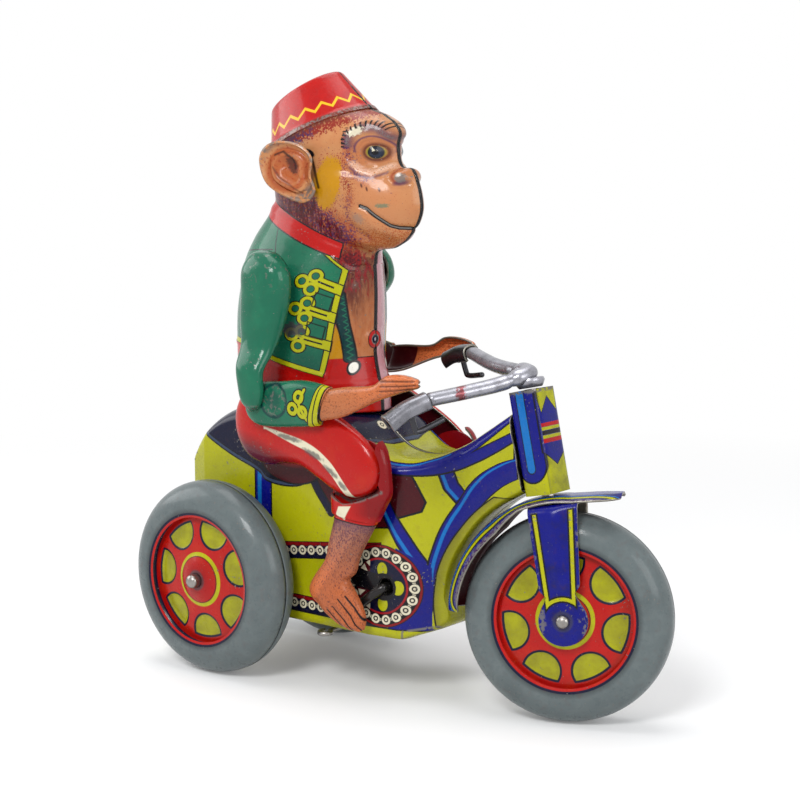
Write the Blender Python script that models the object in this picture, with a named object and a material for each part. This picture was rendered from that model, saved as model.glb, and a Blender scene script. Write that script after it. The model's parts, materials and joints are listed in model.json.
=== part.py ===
"""Clockwork tinplate monkey that rides a three-wheeled cycle.

Sizes are in millimetres and are turned into metres by MM. The drawing frame has +X forward, +Y to
the rider's left and +Z up, with x = 0 at the rear axle and z = 0 on the ground. The toy_frame empty
moves it so that the finished toy stands centred over the origin.
"""

import math

import bmesh
import bpy
from mathutils import Matrix, Vector

MM = 0.001

# Sheet metal, wire and running gaps
TIN = 0.4
GAP = 0.3
SEAM = 0.15

# Wheels: each is two stamped halves round a wire axle
WHEEL_RADIUS = 18.0
TYRE_RADIUS = 4.6
TREAD_FLAT = 1.0
DISC_RADIUS = 12.3
DISC_FACE = 3.1
DOME_RADIUS = 4.8
DOME_HEIGHT = 4.7
AXLE_RADIUS = 1.0
WHEEL_FACETS = 24
REAR_TRACK_HALF = 17.0
REAR_AXLE_HALF = 23.6
WHEELBASE = 67.5

# Steering head
RAKE_DEG = 12.2
STEER_DEG = 23.8
FORK_HALF_WIDTH = 5.7
FORK_SHEET = 0.5
FORK_CROWN_HEIGHT = 19.6
FORK_CROWN_HALF = 3.8
FORK_WAIST_HALF = 2.9
FORK_HUB_RADIUS = 4.2
FORK_RIB = 0.5
FRONT_AXLE_HALF = 7.0
FRONT_AXLE_RADIUS = 0.9
FENDER_RADIUS = 20.5
FENDER_SHEET = 0.4
FENDER_HALF_WIDTH = 5.3
FENDER_REAR_DEG = 169.0
FENDER_FRONT_DEG = 64.0
FENDER_TIP = (12.7, 19.7)
PIN_RADIUS = 1.2
PIN_HEAD_RADIUS = 2.0
HEAD_TUBE_BOTTOM = 21.3
HEAD_TUBE_TOP = 39.2
HEAD_TUBE_LENGTH = 5.8
HEAD_TUBE_WIDTH = 6.6
HEAD_TUBE_WALL = 0.5

# Handlebar, turned and rolled on its stem as the old toy has it
BAR_TURN_DEG = -5.8
BAR_ROLL_DEG = 14.4
BAR_HEIGHT = HEAD_TUBE_TOP + 2.4
BAR_RADIUS = 1.7
BAR_ROUTE = ((0.0, 0.0, 0.5), (-3.8, 3.8, 0.4), (-8.3, 7.7, 1.0), (-13.4, 13.3, 2.2))
GRIP_ROUTE = ((-13.8, 13.65, 2.25), (-17.0, 16.2, 1.8), (-19.8, 18.5, 0.6))
GRIP_HALF_WIDTH = 1.7
GRIP_DEPTH = 2.2
LEVER_ROUTE = ((-16.4, 15.75, 2.1), (-16.4, 15.75, -1.4), (-15.9, 15.4, -2.3), (-12.4, 12.4, -1.8))
LEVER_RADIUS = 0.5
STEM_RADIUS = 2.6

# Body: two stamped halves
BODY_BOTTOM = 10.6
BODY_HALF_WIDTH = 11.0
ARCH_RADIUS = 21.8
CRANK_X = 35.8
CRANK_Z = 20.1
CRANK_THROW = 5.2
CRANK_WIRE = 0.85
CRANK_BEND_Y = 12.15
CRANK_END_Y = 13.3
RIGHT_THROW_DEG = -142.0
LEFT_THROW_DEG = -78.0
SADDLE_TOP = 49.2

# Clockwork: spur wheels of one module between two plates
MODULE = 0.9
AXLE_TEETH = 10
GREAT_TEETH = 24
CRANK_TEETH = 16
IDLER_TEETH = 9
GOVERNOR_TEETH = 7
GREAT_ANGLE_DEG = 38.0
GOVERNOR_ANGLE_DEG = 112.0
MESH_PLAY = 0.15
PLATE_Y = 7.3
PLATE_SHEET = 0.6
WHEEL_Y = 1.6
WHEEL_SHEET = 1.0
ARBOR_RADIUS = 0.8
SPRING_TURNS = 4.0
SPRING_OUTER = 9.0
SPRING_INNER = 1.75
SPRING_SHEET = 0.35
SPRING_Y = (-5.2, 0.2)
SQUARE_END_Y = 12.1
SQUARE_HALF = 1.25

# Rider: layers outward from the body, as distances from the middle plane. Its heights are those of the
# drawing, over a saddle 49.2 up, and rider() seats the whole of it on SADDLE_TOP.
LEG_INNER = 13.6
LEG_DEPTH = 3.0
THIGH_HIP_INNER = 13.3
THIGH_KNEE_INNER = 14.3
THIGH_OUTER = 16.6
FOREARM_INNER = 17.0
FOREARM_OUTER = 19.2
SHOULDER_INNER = 13.9
SHOULDER_OUTER = 18.1
ELBOW_INNER = 19.5
ELBOW_OUTER = 21.4
HIP = (12.0, 47.5)
KNEE = (31.8, 41.6)
SHOULDER = (11.8, 73.6)
ELBOW = (12.8, 53.0)
LEFT_THIGH_DEG = 7.7
LEFT_SHIN_DEG = -14.3
LEFT_UPPER_ARM_DEG = 42.5
LEFT_FOREARM_DEG = 4.1
RIVET_RADIUS = 0.9

COLOURS = {
    "grey_tyre": ((0.20, 0.24, 0.25), 0.35, 0.0),
    "blue_tin": ((0.02, 0.03, 0.25), 0.3, 0.0),
    "yellow_tin": ((0.62, 0.60, 0.03), 0.3, 0.0),
    "red_tin": ((0.60, 0.03, 0.02), 0.3, 0.0),
    "green_tin": ((0.02, 0.22, 0.13), 0.3, 0.0),
    "fur_tin": ((0.55, 0.22, 0.09), 0.35, 0.0),
    "silver": ((0.60, 0.60, 0.62), 0.35, 0.9),
    "dark_metal": ((0.10, 0.10, 0.12), 0.4, 0.8),
    "black_wire": ((0.03, 0.03, 0.03), 0.3, 0.5),
    "steel": ((0.55, 0.55, 0.55), 0.3, 1.0),
    "brass": ((0.60, 0.42, 0.14), 0.35, 1.0),
}


def vec(x, y, z):
    """A point given in millimetres, in metres."""
    return Vector((x, y, z)) * MM


def material(name):
    """The Principled material of one of the toy's finishes."""
    found = bpy.data.materials.get(name)
    if found:
        return found
    colour, roughness, metallic = COLOURS[name]
    made = bpy.data.materials.new(name)
    made.use_nodes = True
    shader = made.node_tree.nodes["Principled BSDF"]
    shader.inputs["Base Color"].default_value = (*colour, 1.0)
    shader.inputs["Roughness"].default_value = roughness
    shader.inputs["Metallic"].default_value = metallic
    made.diffuse_color = (*colour, 1.0)
    return made


def empty(name, parent=None, place=(0, 0, 0), turn=None):
    """A pivot or frame that pieces hang from; turn is a 3 x 3 rotation."""
    pivot = bpy.data.objects.new(name, None)
    bpy.context.scene.collection.objects.link(pivot)
    pivot.parent = parent
    pivot.matrix_local = Matrix.Translation(vec(*place)) @ (turn.to_4x4() if turn else Matrix())
    return pivot


def finish(name, bm, finish_name, parent, smooth=35.0):
    """Make an object of a bmesh that is drawn in millimetres in its parent's frame."""
    bmesh.ops.scale(bm, vec=(MM, MM, MM), verts=bm.verts)
    mesh = bpy.data.meshes.new(name)
    bm.to_mesh(mesh)
    bm.free()
    mesh.shade_smooth()
    mesh.set_sharp_from_angle(angle=math.radians(smooth))
    piece = bpy.data.objects.new(name, mesh)
    piece.data.materials.append(material(finish_name))
    piece.parent = parent
    bpy.context.scene.collection.objects.link(piece)
    return piece


def grid(bm, rows, wrap=False, cap=False):
    """Skin rows of points with quads. wrap joins the last row to the first, and cap closes the ends
    of rows that are themselves closed rings."""
    made = [[bm.verts.new(point) for point in row] for row in rows]
    if wrap:
        made.append(made[0])
    ring = 1 if cap else 0
    for first, second in zip(made, made[1:]):
        count = len(first)
        for i in range(count - 1 + ring):
            j = (i + 1) % count
            bm.faces.new((first[i], first[j], second[j], second[i]))
    if cap:
        bm.faces.new(made[0])
        bm.faces.new(list(reversed(made[-1])))
    return made


def tidy(bm):
    """Merge poles and doubles, then turn all faces outward."""
    bmesh.ops.remove_doubles(bm, verts=bm.verts, dist=0.004)
    bmesh.ops.dissolve_degenerate(bm, edges=bm.edges, dist=0.002)
    bmesh.ops.recalc_face_normals(bm, faces=bm.faces)


def turn_from(bm, centre):
    """Turn an open skin's faces away from a point inside it."""
    side = sum((face.calc_center_median() - Vector(centre)).dot(face.normal) * face.calc_area()
               for face in bm.faces)
    if side < 0:
        bmesh.ops.reverse_faces(bm, faces=bm.faces)


def sheet(piece, thickness=TIN):
    """Give a skin the thickness of the tinplate, inward from its printed face."""
    wall = piece.modifiers.new("tinplate", "SOLIDIFY")
    wall.thickness = thickness * MM
    wall.offset = -1.0
    wall.use_even_offset = True
    wall.use_rim = True
    return piece


def cut(piece, cutter, operation="DIFFERENCE"):
    """Cut a piece with a cutter, or join one to it, and keep the cutter out of sight."""
    cutter.hide_render = True
    cutter.display_type = "WIRE"
    step = piece.modifiers.new(operation.lower(), "BOOLEAN")
    step.operation = operation
    step.solver = "EXACT"
    step.object = cutter
    return piece


def ring_points(centre, axis, side, radius, count, phase=0.0):
    """Points round a circle about axis, starting at side."""
    axis = Vector(axis).normalized()
    side = (Vector(side) - axis * Vector(side).dot(axis)).normalized()
    other = axis.cross(side)
    steps = [2 * math.pi * i / count + phase for i in range(count)]
    return [Vector(centre) + radius * (math.cos(a) * side + math.sin(a) * other) for a in steps]


def rod(name, start, end, radius, finish_name, parent, sides=10, heads=()):
    """A straight rod. heads are (distance from start, radius) steps along it."""
    start, end = Vector(start), Vector(end)
    axis = (end - start).normalized()
    side = Vector((0, 0, 1)) if abs(axis.z) < 0.9 else Vector((1, 0, 0))
    stations = heads or ((0.0, radius), ((end - start).length, radius))
    bm = bmesh.new()
    grid(bm, [ring_points(start + axis * along, axis, side, r, sides) for along, r in stations], cap=True)
    tidy(bm)
    return finish(name, bm, finish_name, parent)


def smooth_route(points, steps):
    """Points along a Catmull-Rom curve through the given ones, steps to each stretch."""
    pts = [Vector(p) for p in points]
    pts = [2 * pts[0] - pts[1]] + pts + [2 * pts[-1] - pts[-2]]
    out = []
    for i in range(1, len(pts) - 2):
        a, b, c, d = pts[i - 1:i + 3]
        for k in range(steps):
            t = k / steps
            out.append(0.5 * (2 * b + (c - a) * t + (2 * a - 5 * b + 4 * c - d) * t ** 2
                              + (3 * b - a - 3 * c + d) * t ** 3))
    out.append(pts[-2])
    return out


def wire(name, route, radius, finish_name, parent, sides=8):
    """A round wire along a route."""
    bm = bmesh.new()
    rows = []
    side = None
    for i, point in enumerate(route):
        ahead = route[min(i + 1, len(route) - 1)] - route[max(i - 1, 0)]
        axis = ahead.normalized()
        if side is None:
            side = axis.orthogonal()
        side = (side - axis * side.dot(axis)).normalized()
        rows.append(ring_points(point, axis, side, radius, sides))
    grid(bm, rows, cap=True)
    tidy(bm)
    return finish(name, bm, finish_name, parent)


def plate(bm, outline, low, high):
    """Extrude a closed outline of (x, z) points from low to high along y."""
    rows = [[(x, y, z) for x, z in outline] for y in (low, high)]
    grid(bm, rows, cap=True)
    return bm


def trim_seam(piece, side, parent):
    """Cut a half back to its side of the middle plane, so that the halves meet with an even seam."""
    slab = bmesh.new()
    plate(slab, [(-30.0, 0.0), (70.0, 0.0), (70.0, 125.0), (-30.0, 125.0)], -side * 4.0, side * SEAM)
    tidy(slab)
    return cut(piece, finish(f"{piece.name}_seam", slab, "steel", parent))


# Wheels

def wheel_profile():
    """Outer face of a wheel half, from the seam over the tyre to the hub, as (radius, width)."""
    centre = WHEEL_RADIUS - TYRE_RADIUS
    points = [(WHEEL_RADIUS, SEAM), (WHEEL_RADIUS, TREAD_FLAT)]
    for degrees in (48.0, 92.0):
        a = math.radians(degrees)
        points.append((centre + TYRE_RADIUS * math.cos(a), SEAM + TYRE_RADIUS * math.sin(a)))
    points += [(DISC_RADIUS, DISC_FACE), (DOME_RADIUS, DISC_FACE)]
    points.append((AXLE_RADIUS + GAP, DOME_HEIGHT))
    return points


def wheel_half(name, side, plane, parent, phase_deg=0.0):
    """One stamped half of a wheel; side is -1 for the right face and +1 for the left. phase_deg turns
    the tread's flats, so that one of them is level where the wheel hangs in a raked fork."""
    flat = 1.0 / math.cos(math.pi / WHEEL_FACETS)
    rows = []
    for i in range(WHEEL_FACETS):
        a = -math.pi / 2 + (2 * i + 1) * math.pi / WHEEL_FACETS + math.radians(phase_deg)
        rows.append([(r * flat * math.cos(a), plane + side * w, r * flat * math.sin(a))
                     for r, w in wheel_profile()])
    bm = bmesh.new()
    grid(bm, rows, wrap=True)
    bm.normal_update()
    turn_from(bm, (0, plane, 0))
    return sheet(finish(name, bm, "grey_tyre", parent))


def wheels(pivots):
    """The three wheels and the two axles."""
    for word, y in (("right", -REAR_TRACK_HALF), ("left", REAR_TRACK_HALF)):
        out = 1 if y > 0 else -1
        wheel_half(f"rear_wheel_{word}_outer", out, y, pivots["rear_axle"])
        wheel_half(f"rear_wheel_{word}_inner", -out, y, pivots["rear_axle"])
    wheel_half("front_wheel_right_half", -1, 0.0, pivots["steering"], -RAKE_DEG)
    wheel_half("front_wheel_left_half", 1, 0.0, pivots["steering"], -RAKE_DEG)
    rod("rear_axle", (0, -REAR_AXLE_HALF, 0), (0, REAR_AXLE_HALF, 0), AXLE_RADIUS, "steel",
        pivots["rear_axle"])
    rod("front_axle", (0, -FRONT_AXLE_HALF, 0), (0, FRONT_AXLE_HALF, 0), FRONT_AXLE_RADIUS, "steel",
        pivots["steering"])


# Steering

def fork(parent):
    """A strip bent over the wheel, narrowing to a round hub end on each side, with a raised rib."""
    half = FORK_HALF_WIDTH
    crown = FORK_CROWN_HEIGHT
    bend = 1.4
    heights = [-0.96, -0.7, -0.25, 0.3, 0.75]
    side_rows = [(half, h * FORK_HUB_RADIUS) for h in heights]
    side_rows += [(half, 5.5), (half, 7.0), (half, 15.5), (half, crown - bend)]
    rows = [(-v, h) for v, h in side_rows] + [(-half + bend, crown), (half - bend, crown)]
    rows += [(v, h) for v, h in reversed(side_rows)]
    bm = bmesh.new()
    made = []
    for v, h in rows:
        blade = FORK_WAIST_HALF + (FORK_CROWN_HALF - FORK_WAIST_HALF) * max(0.0, h - 4.0) / (crown - 4.0)
        hub = math.sqrt(max(0.0, FORK_HUB_RADIUS ** 2 - h * h)) if h < FORK_HUB_RADIUS else 0.0
        wide = hub if h < 0 else max(hub, blade)
        rib = FORK_RIB if 6.0 < h < 16.5 else 0.0
        out = math.copysign(rib, v)
        made.append([(-wide, v, h), (-0.3 * wide, v, h), (0.0, v + out, h), (0.3 * wide, v, h), (wide, v, h)])
    grid(bm, made)
    bm.normal_update()
    turn_from(bm, (0, 0, 8.0))
    piece = sheet(finish("fork", bm, "blue_tin", parent), FORK_SHEET)
    bore = rod("fork_axle_bore", (0, -9, 0), (0, 9, 0), FRONT_AXLE_RADIUS + GAP, "steel", parent)
    cut(piece, bore)
    hole = rod("fork_pin_bore", (0, 0, crown - 3), (0, 0, crown + 2), PIN_RADIUS + GAP, "steel", parent)
    return cut(piece, hole)


def fender(parent):
    """A dished strip on an arc over the wheel with a flipped front tip."""
    steps = 12
    spine = []
    for i in range(steps + 1):
        a = math.radians(FENDER_REAR_DEG + (FENDER_FRONT_DEG - FENDER_REAR_DEG) * i / steps)
        spine.append((FENDER_RADIUS * math.cos(a), FENDER_RADIUS * math.sin(a), a))
    spine.append((FENDER_TIP[0], FENDER_TIP[1], math.radians(80.0)))
    bm = bmesh.new()
    rows = []
    for i, (f, h, a) in enumerate(spine):
        share = i / (len(spine) - 1)
        wide = FENDER_HALF_WIDTH * min(1.0, 0.55 + 3.2 * share, 0.35 + 3.4 * (1.0 - share))
        dish = 0.4
        rows.append([(f + (FENDER_SHEET - dish * t * t) * math.cos(a), t * wide,
                      h + (FENDER_SHEET - dish * t * t) * math.sin(a)) for t in (-1, -0.5, 0, 0.5, 1)])
    grid(bm, rows)
    bm.normal_update()
    turn_from(bm, (0, 0, 0))
    piece = sheet(finish("fender", bm, "blue_tin", parent), FENDER_SHEET)
    hole = rod("fender_pin_bore", (0, 0, FENDER_RADIUS - 2), (0, 0, FENDER_RADIUS + 2),
               PIN_RADIUS + GAP, "steel", parent)
    return cut(piece, hole)


def steering_pin(parent):
    """The headed pin from the fork crown up through the head tube to the stem."""
    low = FORK_CROWN_HEIGHT - FORK_SHEET - GAP
    top = BAR_HEIGHT - STEM_RADIUS + 0.3
    bm = bmesh.new()
    stations = [(low - 0.4, PIN_HEAD_RADIUS), (low, PIN_HEAD_RADIUS), (low, PIN_RADIUS), (top, PIN_RADIUS)]
    grid(bm, [ring_points((0, 0, h), (0, 0, 1), (1, 0, 0), r, 10) for h, r in stations], cap=True)
    tidy(bm)
    return finish("steering_pin", bm, "steel", parent)


def handlebar(parent, roll):
    """Stem, bar, grips and levers. The stem stands on the pin, and the bar is rolled with the roll frame."""
    low = HEAD_TUBE_TOP + GAP
    bm = bmesh.new()
    stations = [(low, 2.2), (low + 1.0, STEM_RADIUS), (BAR_HEIGHT - 0.4, STEM_RADIUS)]
    grid(bm, [ring_points((0, 0, h), (0, 0, 1), (1, 0, 0), r, 12) for h, r in stations], cap=True)
    tidy(bm)
    stem = finish("stem", bm, "silver", parent)
    cut(stem, rod("stem_pin_bore", (0, 0, low - 2), (0, 0, BAR_HEIGHT - STEM_RADIUS + 0.7),
                  PIN_RADIUS + GAP, "steel", parent))
    right = [Vector((f, -v, h)) for f, v, h in BAR_ROUTE]
    left = [Vector((f, v, h)) for f, v, h in BAR_ROUTE[1:]]
    route = smooth_route(list(reversed(right)) + left, 2)
    bar = wire("handlebar", route, BAR_RADIUS, "silver", roll)
    cut(stem, wire("stem_bar_notch", route, BAR_RADIUS + GAP, "silver", roll))
    for word, side in (("right", -1), ("left", 1)):
        grip(f"grip_{word}", side, roll)
        lever = smooth_route([(f, side * v, h) for f, v, h in LEVER_ROUTE], 2)
        wire(f"brake_lever_{word}", lever, LEVER_RADIUS, "dark_metal", roll, sides=6)
    return bar


def grip(name, side, parent):
    """A downward open channel along the end of the bar."""
    bm = bmesh.new()
    rows = []
    points = smooth_route([(f, side * v, h) for f, v, h in GRIP_ROUTE], 2)
    for i, point in enumerate(points):
        ahead = (points[min(i + 1, len(points) - 1)] - points[max(i - 1, 0)]).normalized()
        across = ahead.cross(Vector((0, 0, 1))).normalized()
        up = across.cross(ahead)
        w, d = GRIP_HALF_WIDTH, GRIP_DEPTH
        rows.append([point + across * a * w + up * b * d
                     for a, b in ((-1, -0.6), (-1, 0.25), (-0.55, 0.7), (0.55, 0.7), (1, 0.25), (1, -0.6))])
    grid(bm, rows)
    bm.normal_update()
    middle = points[len(points) // 2]
    turn_from(bm, middle)
    return sheet(finish(name, bm, "dark_metal", parent), 0.5)


def head_tube(parent):
    """A rounded box tube on the steering axis that does not turn with the fork."""
    def outline(length, width, corner):
        pts = []
        for sx, sy, start in ((1, 1, 0), (-1, 1, 90), (-1, -1, 180), (1, -1, 270)):
            for k in range(3):
                a = math.radians(start + 45 * k)
                pts.append((sx * (length / 2 - corner) + corner * math.cos(a),
                            sy * (width / 2 - corner) + corner * math.sin(a)))
        return pts
    bm = bmesh.new()
    outer = outline(HEAD_TUBE_LENGTH, HEAD_TUBE_WIDTH, 1.5)
    inner = outline(HEAD_TUBE_LENGTH - 2 * HEAD_TUBE_WALL, HEAD_TUBE_WIDTH - 2 * HEAD_TUBE_WALL, 1.0)
    rows = [[(x, y, HEAD_TUBE_BOTTOM) for x, y in outer], [(x, y, HEAD_TUBE_TOP) for x, y in outer],
            [(x, y, HEAD_TUBE_TOP) for x, y in inner], [(x, y, HEAD_TUBE_BOTTOM) for x, y in inner]]
    closed = [row + [row[0]] for row in rows]
    grid(bm, closed, wrap=True)
    tidy(bm)
    return finish("head_tube", bm, "blue_tin", parent)


# Body

def plan_stations():
    """Stations of the body's plan, (x, half width): the tail behind, and the nose back from the head."""
    nose = HEAD_TUBE_WIDTH / 2
    return ((-16.2, 1.2), (-15.4, 4.6), (-14.0, 7.6), (-12.0, 9.6), (-8.0, BODY_HALF_WIDTH),
            (WHEELBASE - 35.5, BODY_HALF_WIDTH), (WHEELBASE - 29.5, BODY_HALF_WIDTH - 0.8),
            (WHEELBASE - 24.5, 7.6), (WHEELBASE - 19.5, 4.8), (WHEELBASE - 15.5, nose + 0.6),
            (WHEELBASE - 10.5, nose), (WHEELBASE + 2.5, nose))


def body_width(x):
    """Half width of the body in plan: boat-tailed behind, drawn in to the arch in front."""
    stations = plan_stations()
    for (xa, wa), (xb, wb) in zip(stations, stations[1:]):
        if x <= xb:
            share = max(0.0, (x - xa) / (xb - xa))
            return wa + (wb - wa) * share
    return stations[-1][1]


def head_rear_line(height, back):
    """A point of the head tube's rear face, back behind it, at a height along the raked axis."""
    rake = math.radians(RAKE_DEG)
    ahead = -(HEAD_TUBE_LENGTH / 2 + back)
    return (WHEELBASE - height * math.sin(rake) + ahead * math.cos(rake),
            WHEEL_RADIUS + height * math.cos(rake) + ahead * math.sin(rake))


def body_outline():
    """Seam outline of the body as (x, z, shoulder): shoulder is how far the edge rounds over."""
    points = [(-11.5, BODY_BOTTOM, 0.1), (-3.0, BODY_BOTTOM, 0.1), (8.0, BODY_BOTTOM, 0.1),
              (20.0, BODY_BOTTOM, 0.1), (30.0, BODY_BOTTOM, 0.1), (38.8, BODY_BOTTOM, 0.1)]
    rear_low = head_rear_line(HEAD_TUBE_BOTTOM + 0.6, GAP)
    for z in (14.0, 18.5, 23.0, 27.5, 32.0, 35.6):
        points.append((WHEELBASE - math.sqrt(ARCH_RADIUS ** 2 - (z - WHEEL_RADIUS) ** 2), z, 0.35))
    points.append((*rear_low, 0.35))
    points.append((*head_rear_line(HEAD_TUBE_BOTTOM + 7.0, GAP), 0.35))
    points.append((*head_rear_line(HEAD_TUBE_TOP - 3.6, GAP), 0.6))
    points += [(WHEELBASE - 15.3, 48.9, 0.8), (WHEELBASE - 19.3, 46.2, 1.0), (WHEELBASE - 23.9, 44.0, 1.0),
               (WHEELBASE - 29.0, 43.0, 1.0)]
    points += [(x, SADDLE_TOP - drop, 1.0) for x, drop in (
        (34.0, 5.6), (30.5, 3.6), (27.4, 1.0), (24.0, 0.0), (13.0, 0.0), (2.0, 0.0), (-4.5, 1.9), (-10.4, 7.0))]
    points += [(-14.3, 35.0, 0.8), (-16.0, 27.0, 0.5), (-15.6, 18.0, 0.4), (-13.8, 12.0, 0.3)]
    return points


def inset(points, amounts):
    """Move each point of a closed outline inward along its corner's bisector."""
    out = []
    count = len(points)
    for i, (x, z) in enumerate(points):
        before = Vector((x, z)) - Vector(points[i - 1])
        after = Vector(points[(i + 1) % count]) - Vector((x, z))
        normal = Vector((-before.y, before.x)).normalized() + Vector((-after.y, after.x)).normalized()
        normal = normal.normalized()
        out.append((x + normal.x * amounts[i], z + normal.y * amounts[i]))
    return out


def body_half(name, side, parent):
    """One stamped side: rings rounding over from the seam to the flat side, closed by the panel."""
    outline = body_outline()
    flat = [(x, z) for x, z, _ in outline]
    rounding = [shoulder for _, _, shoulder in outline]
    bm = bmesh.new()
    rows = []
    for depth, share in ((0.0, 0.0), (0.5, 0.0), (0.85, 0.35), (1.0, 1.0)):
        ring = inset(flat, [2.6 * share * amount for amount in rounding])
        rows.append([(x, side * max(SEAM, depth * body_width(x)), z) for x, z in ring])
    closed = [row + [row[0]] for row in rows]
    made = grid(bm, closed)
    bmesh.ops.remove_doubles(bm, verts=bm.verts, dist=0.004)
    bm.verts.ensure_lookup_table()
    rim = [vert for vert in bm.verts if abs(abs(vert.co.y) - body_width(vert.co.x)) < 1e-4]
    edges = [edge for edge in bm.edges if edge.is_boundary and edge.verts[0] in rim and edge.verts[1] in rim]
    panel = bmesh.ops.edgeloop_fill(bm, edges=edges)["faces"]
    for x, _ in plan_stations()[2:-2]:
        geometry = list(panel) + list({e for f in panel for e in f.edges}) + list({v for f in panel for v in f.verts})
        cutting = bmesh.ops.bisect_plane(bm, geom=geometry, plane_co=(x, 0, 0), plane_no=(1, 0, 0), dist=1e-4)
        corners = {v for v in cutting["geom_cut"] if isinstance(v, bmesh.types.BMVert)}
        fresh = [g for g in cutting["geom"] if isinstance(g, bmesh.types.BMFace)]
        panel = list(set(fresh))
        for vert in corners:
            vert.co.y = side * max(SEAM, body_width(vert.co.x))
    bmesh.ops.triangulate(bm, faces=[f for f in bm.faces if len(f.verts) > 4])
    bm.normal_update()
    turn_from(bm, (20.0, 0.0, 28.0))
    piece = sheet(finish(name, bm, "yellow_tin", parent), TIN + 0.1)
    for label, x, z, radius in (("axle", 0.0, WHEEL_RADIUS, AXLE_RADIUS), ("crank", CRANK_X, CRANK_Z, CRANK_WIRE)):
        bore = rod(f"{name}_{label}_bore", (x, side * 7, z), (x, side * 14, z), radius + GAP, "steel", parent)
        cut(piece, bore)
    window = bmesh.new()
    plate(window, [(3.0, 8.0), (33.0, 8.0), (33.0, 13.0), (3.0, 13.0)], -6.2, 6.2)
    tidy(window)
    cut(piece, finish(f"{name}_window", window, "steel", parent))
    if side > 0:
        great = great_centre()
        cut(piece, rod(f"{name}_winding_bore", (great[0], 7, great[1]), (great[0], 14, great[1]),
                       SQUARE_HALF * 1.42 + GAP, "steel", parent))
    return piece


# Clockwork

def pitch(teeth):
    """Pitch radius of a wheel of the common module."""
    return MODULE * teeth / 2


def great_centre():
    """Place of the great wheel's arbor, in mesh with the rear axle's pinion."""
    reach = pitch(AXLE_TEETH) + pitch(GREAT_TEETH) + MESH_PLAY
    a = math.radians(GREAT_ANGLE_DEG)
    return (reach * math.cos(a), WHEEL_RADIUS + reach * math.sin(a))


def idler_centre():
    """Place of the idler, in mesh with both the great wheel and the crank's wheel."""
    gx, gz = great_centre()
    near = pitch(GREAT_TEETH) + pitch(IDLER_TEETH) + MESH_PLAY
    far = pitch(CRANK_TEETH) + pitch(IDLER_TEETH) + MESH_PLAY
    dx, dz = CRANK_X - gx, CRANK_Z - gz
    apart = math.hypot(dx, dz)
    along = (near ** 2 - far ** 2 + apart ** 2) / (2 * apart)
    across = math.sqrt(near ** 2 - along ** 2)
    return (gx + (along * dx - across * dz) / apart, gz + (along * dz + across * dx) / apart)


def governor_centre():
    """Place of the governor's arbor, in mesh with the great wheel."""
    gx, gz = great_centre()
    reach = pitch(GREAT_TEETH) + pitch(GOVERNOR_TEETH) + MESH_PLAY
    a = math.radians(GOVERNOR_ANGLE_DEG)
    return (gx + reach * math.cos(a), gz + reach * math.sin(a))


def gear_outline(teeth, phase):
    """Outline of a spur wheel with straight flanks; phase is the angle of the middle of a tooth."""
    radius = pitch(teeth)
    root, tip = radius - 1.05 * MODULE, radius + 0.8 * MODULE
    step = 2 * math.pi / teeth
    points = []
    for i in range(teeth):
        middle = phase + i * step
        for share, r in ((-0.30, root), (-0.10, tip), (0.10, tip), (0.30, root)):
            a = middle + share * step
            points.append((r * math.cos(a), r * math.sin(a)))
    return points


def toward(start, end):
    """Angle from one centre to another in the side view."""
    return math.atan2(end[1] - start[1], end[0] - start[0])


def spur(name, teeth, phase, parent, y=WHEEL_Y, wide=WHEEL_SHEET, arbor=None, bore=None, finish_name="brass"):
    """A toothed wheel. arbor is (low, high, radius) of a shaft made in one with it."""
    bm = bmesh.new()
    plate(bm, gear_outline(teeth, phase), y, y + wide)
    tidy(bm)
    piece = finish(name, bm, finish_name, parent)
    if arbor:
        low, high, radius = arbor
        shaft = rod(f"{name}_shaft", (0, low, 0), (0, high, 0), radius, "steel", parent, sides=8)
        cut(piece, shaft, "UNION")
    if bore:
        cut(piece, rod(f"{name}_bore", (0, y - 1, 0), (0, y + wide + 1, 0), bore, "steel", parent))
    return piece


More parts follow.
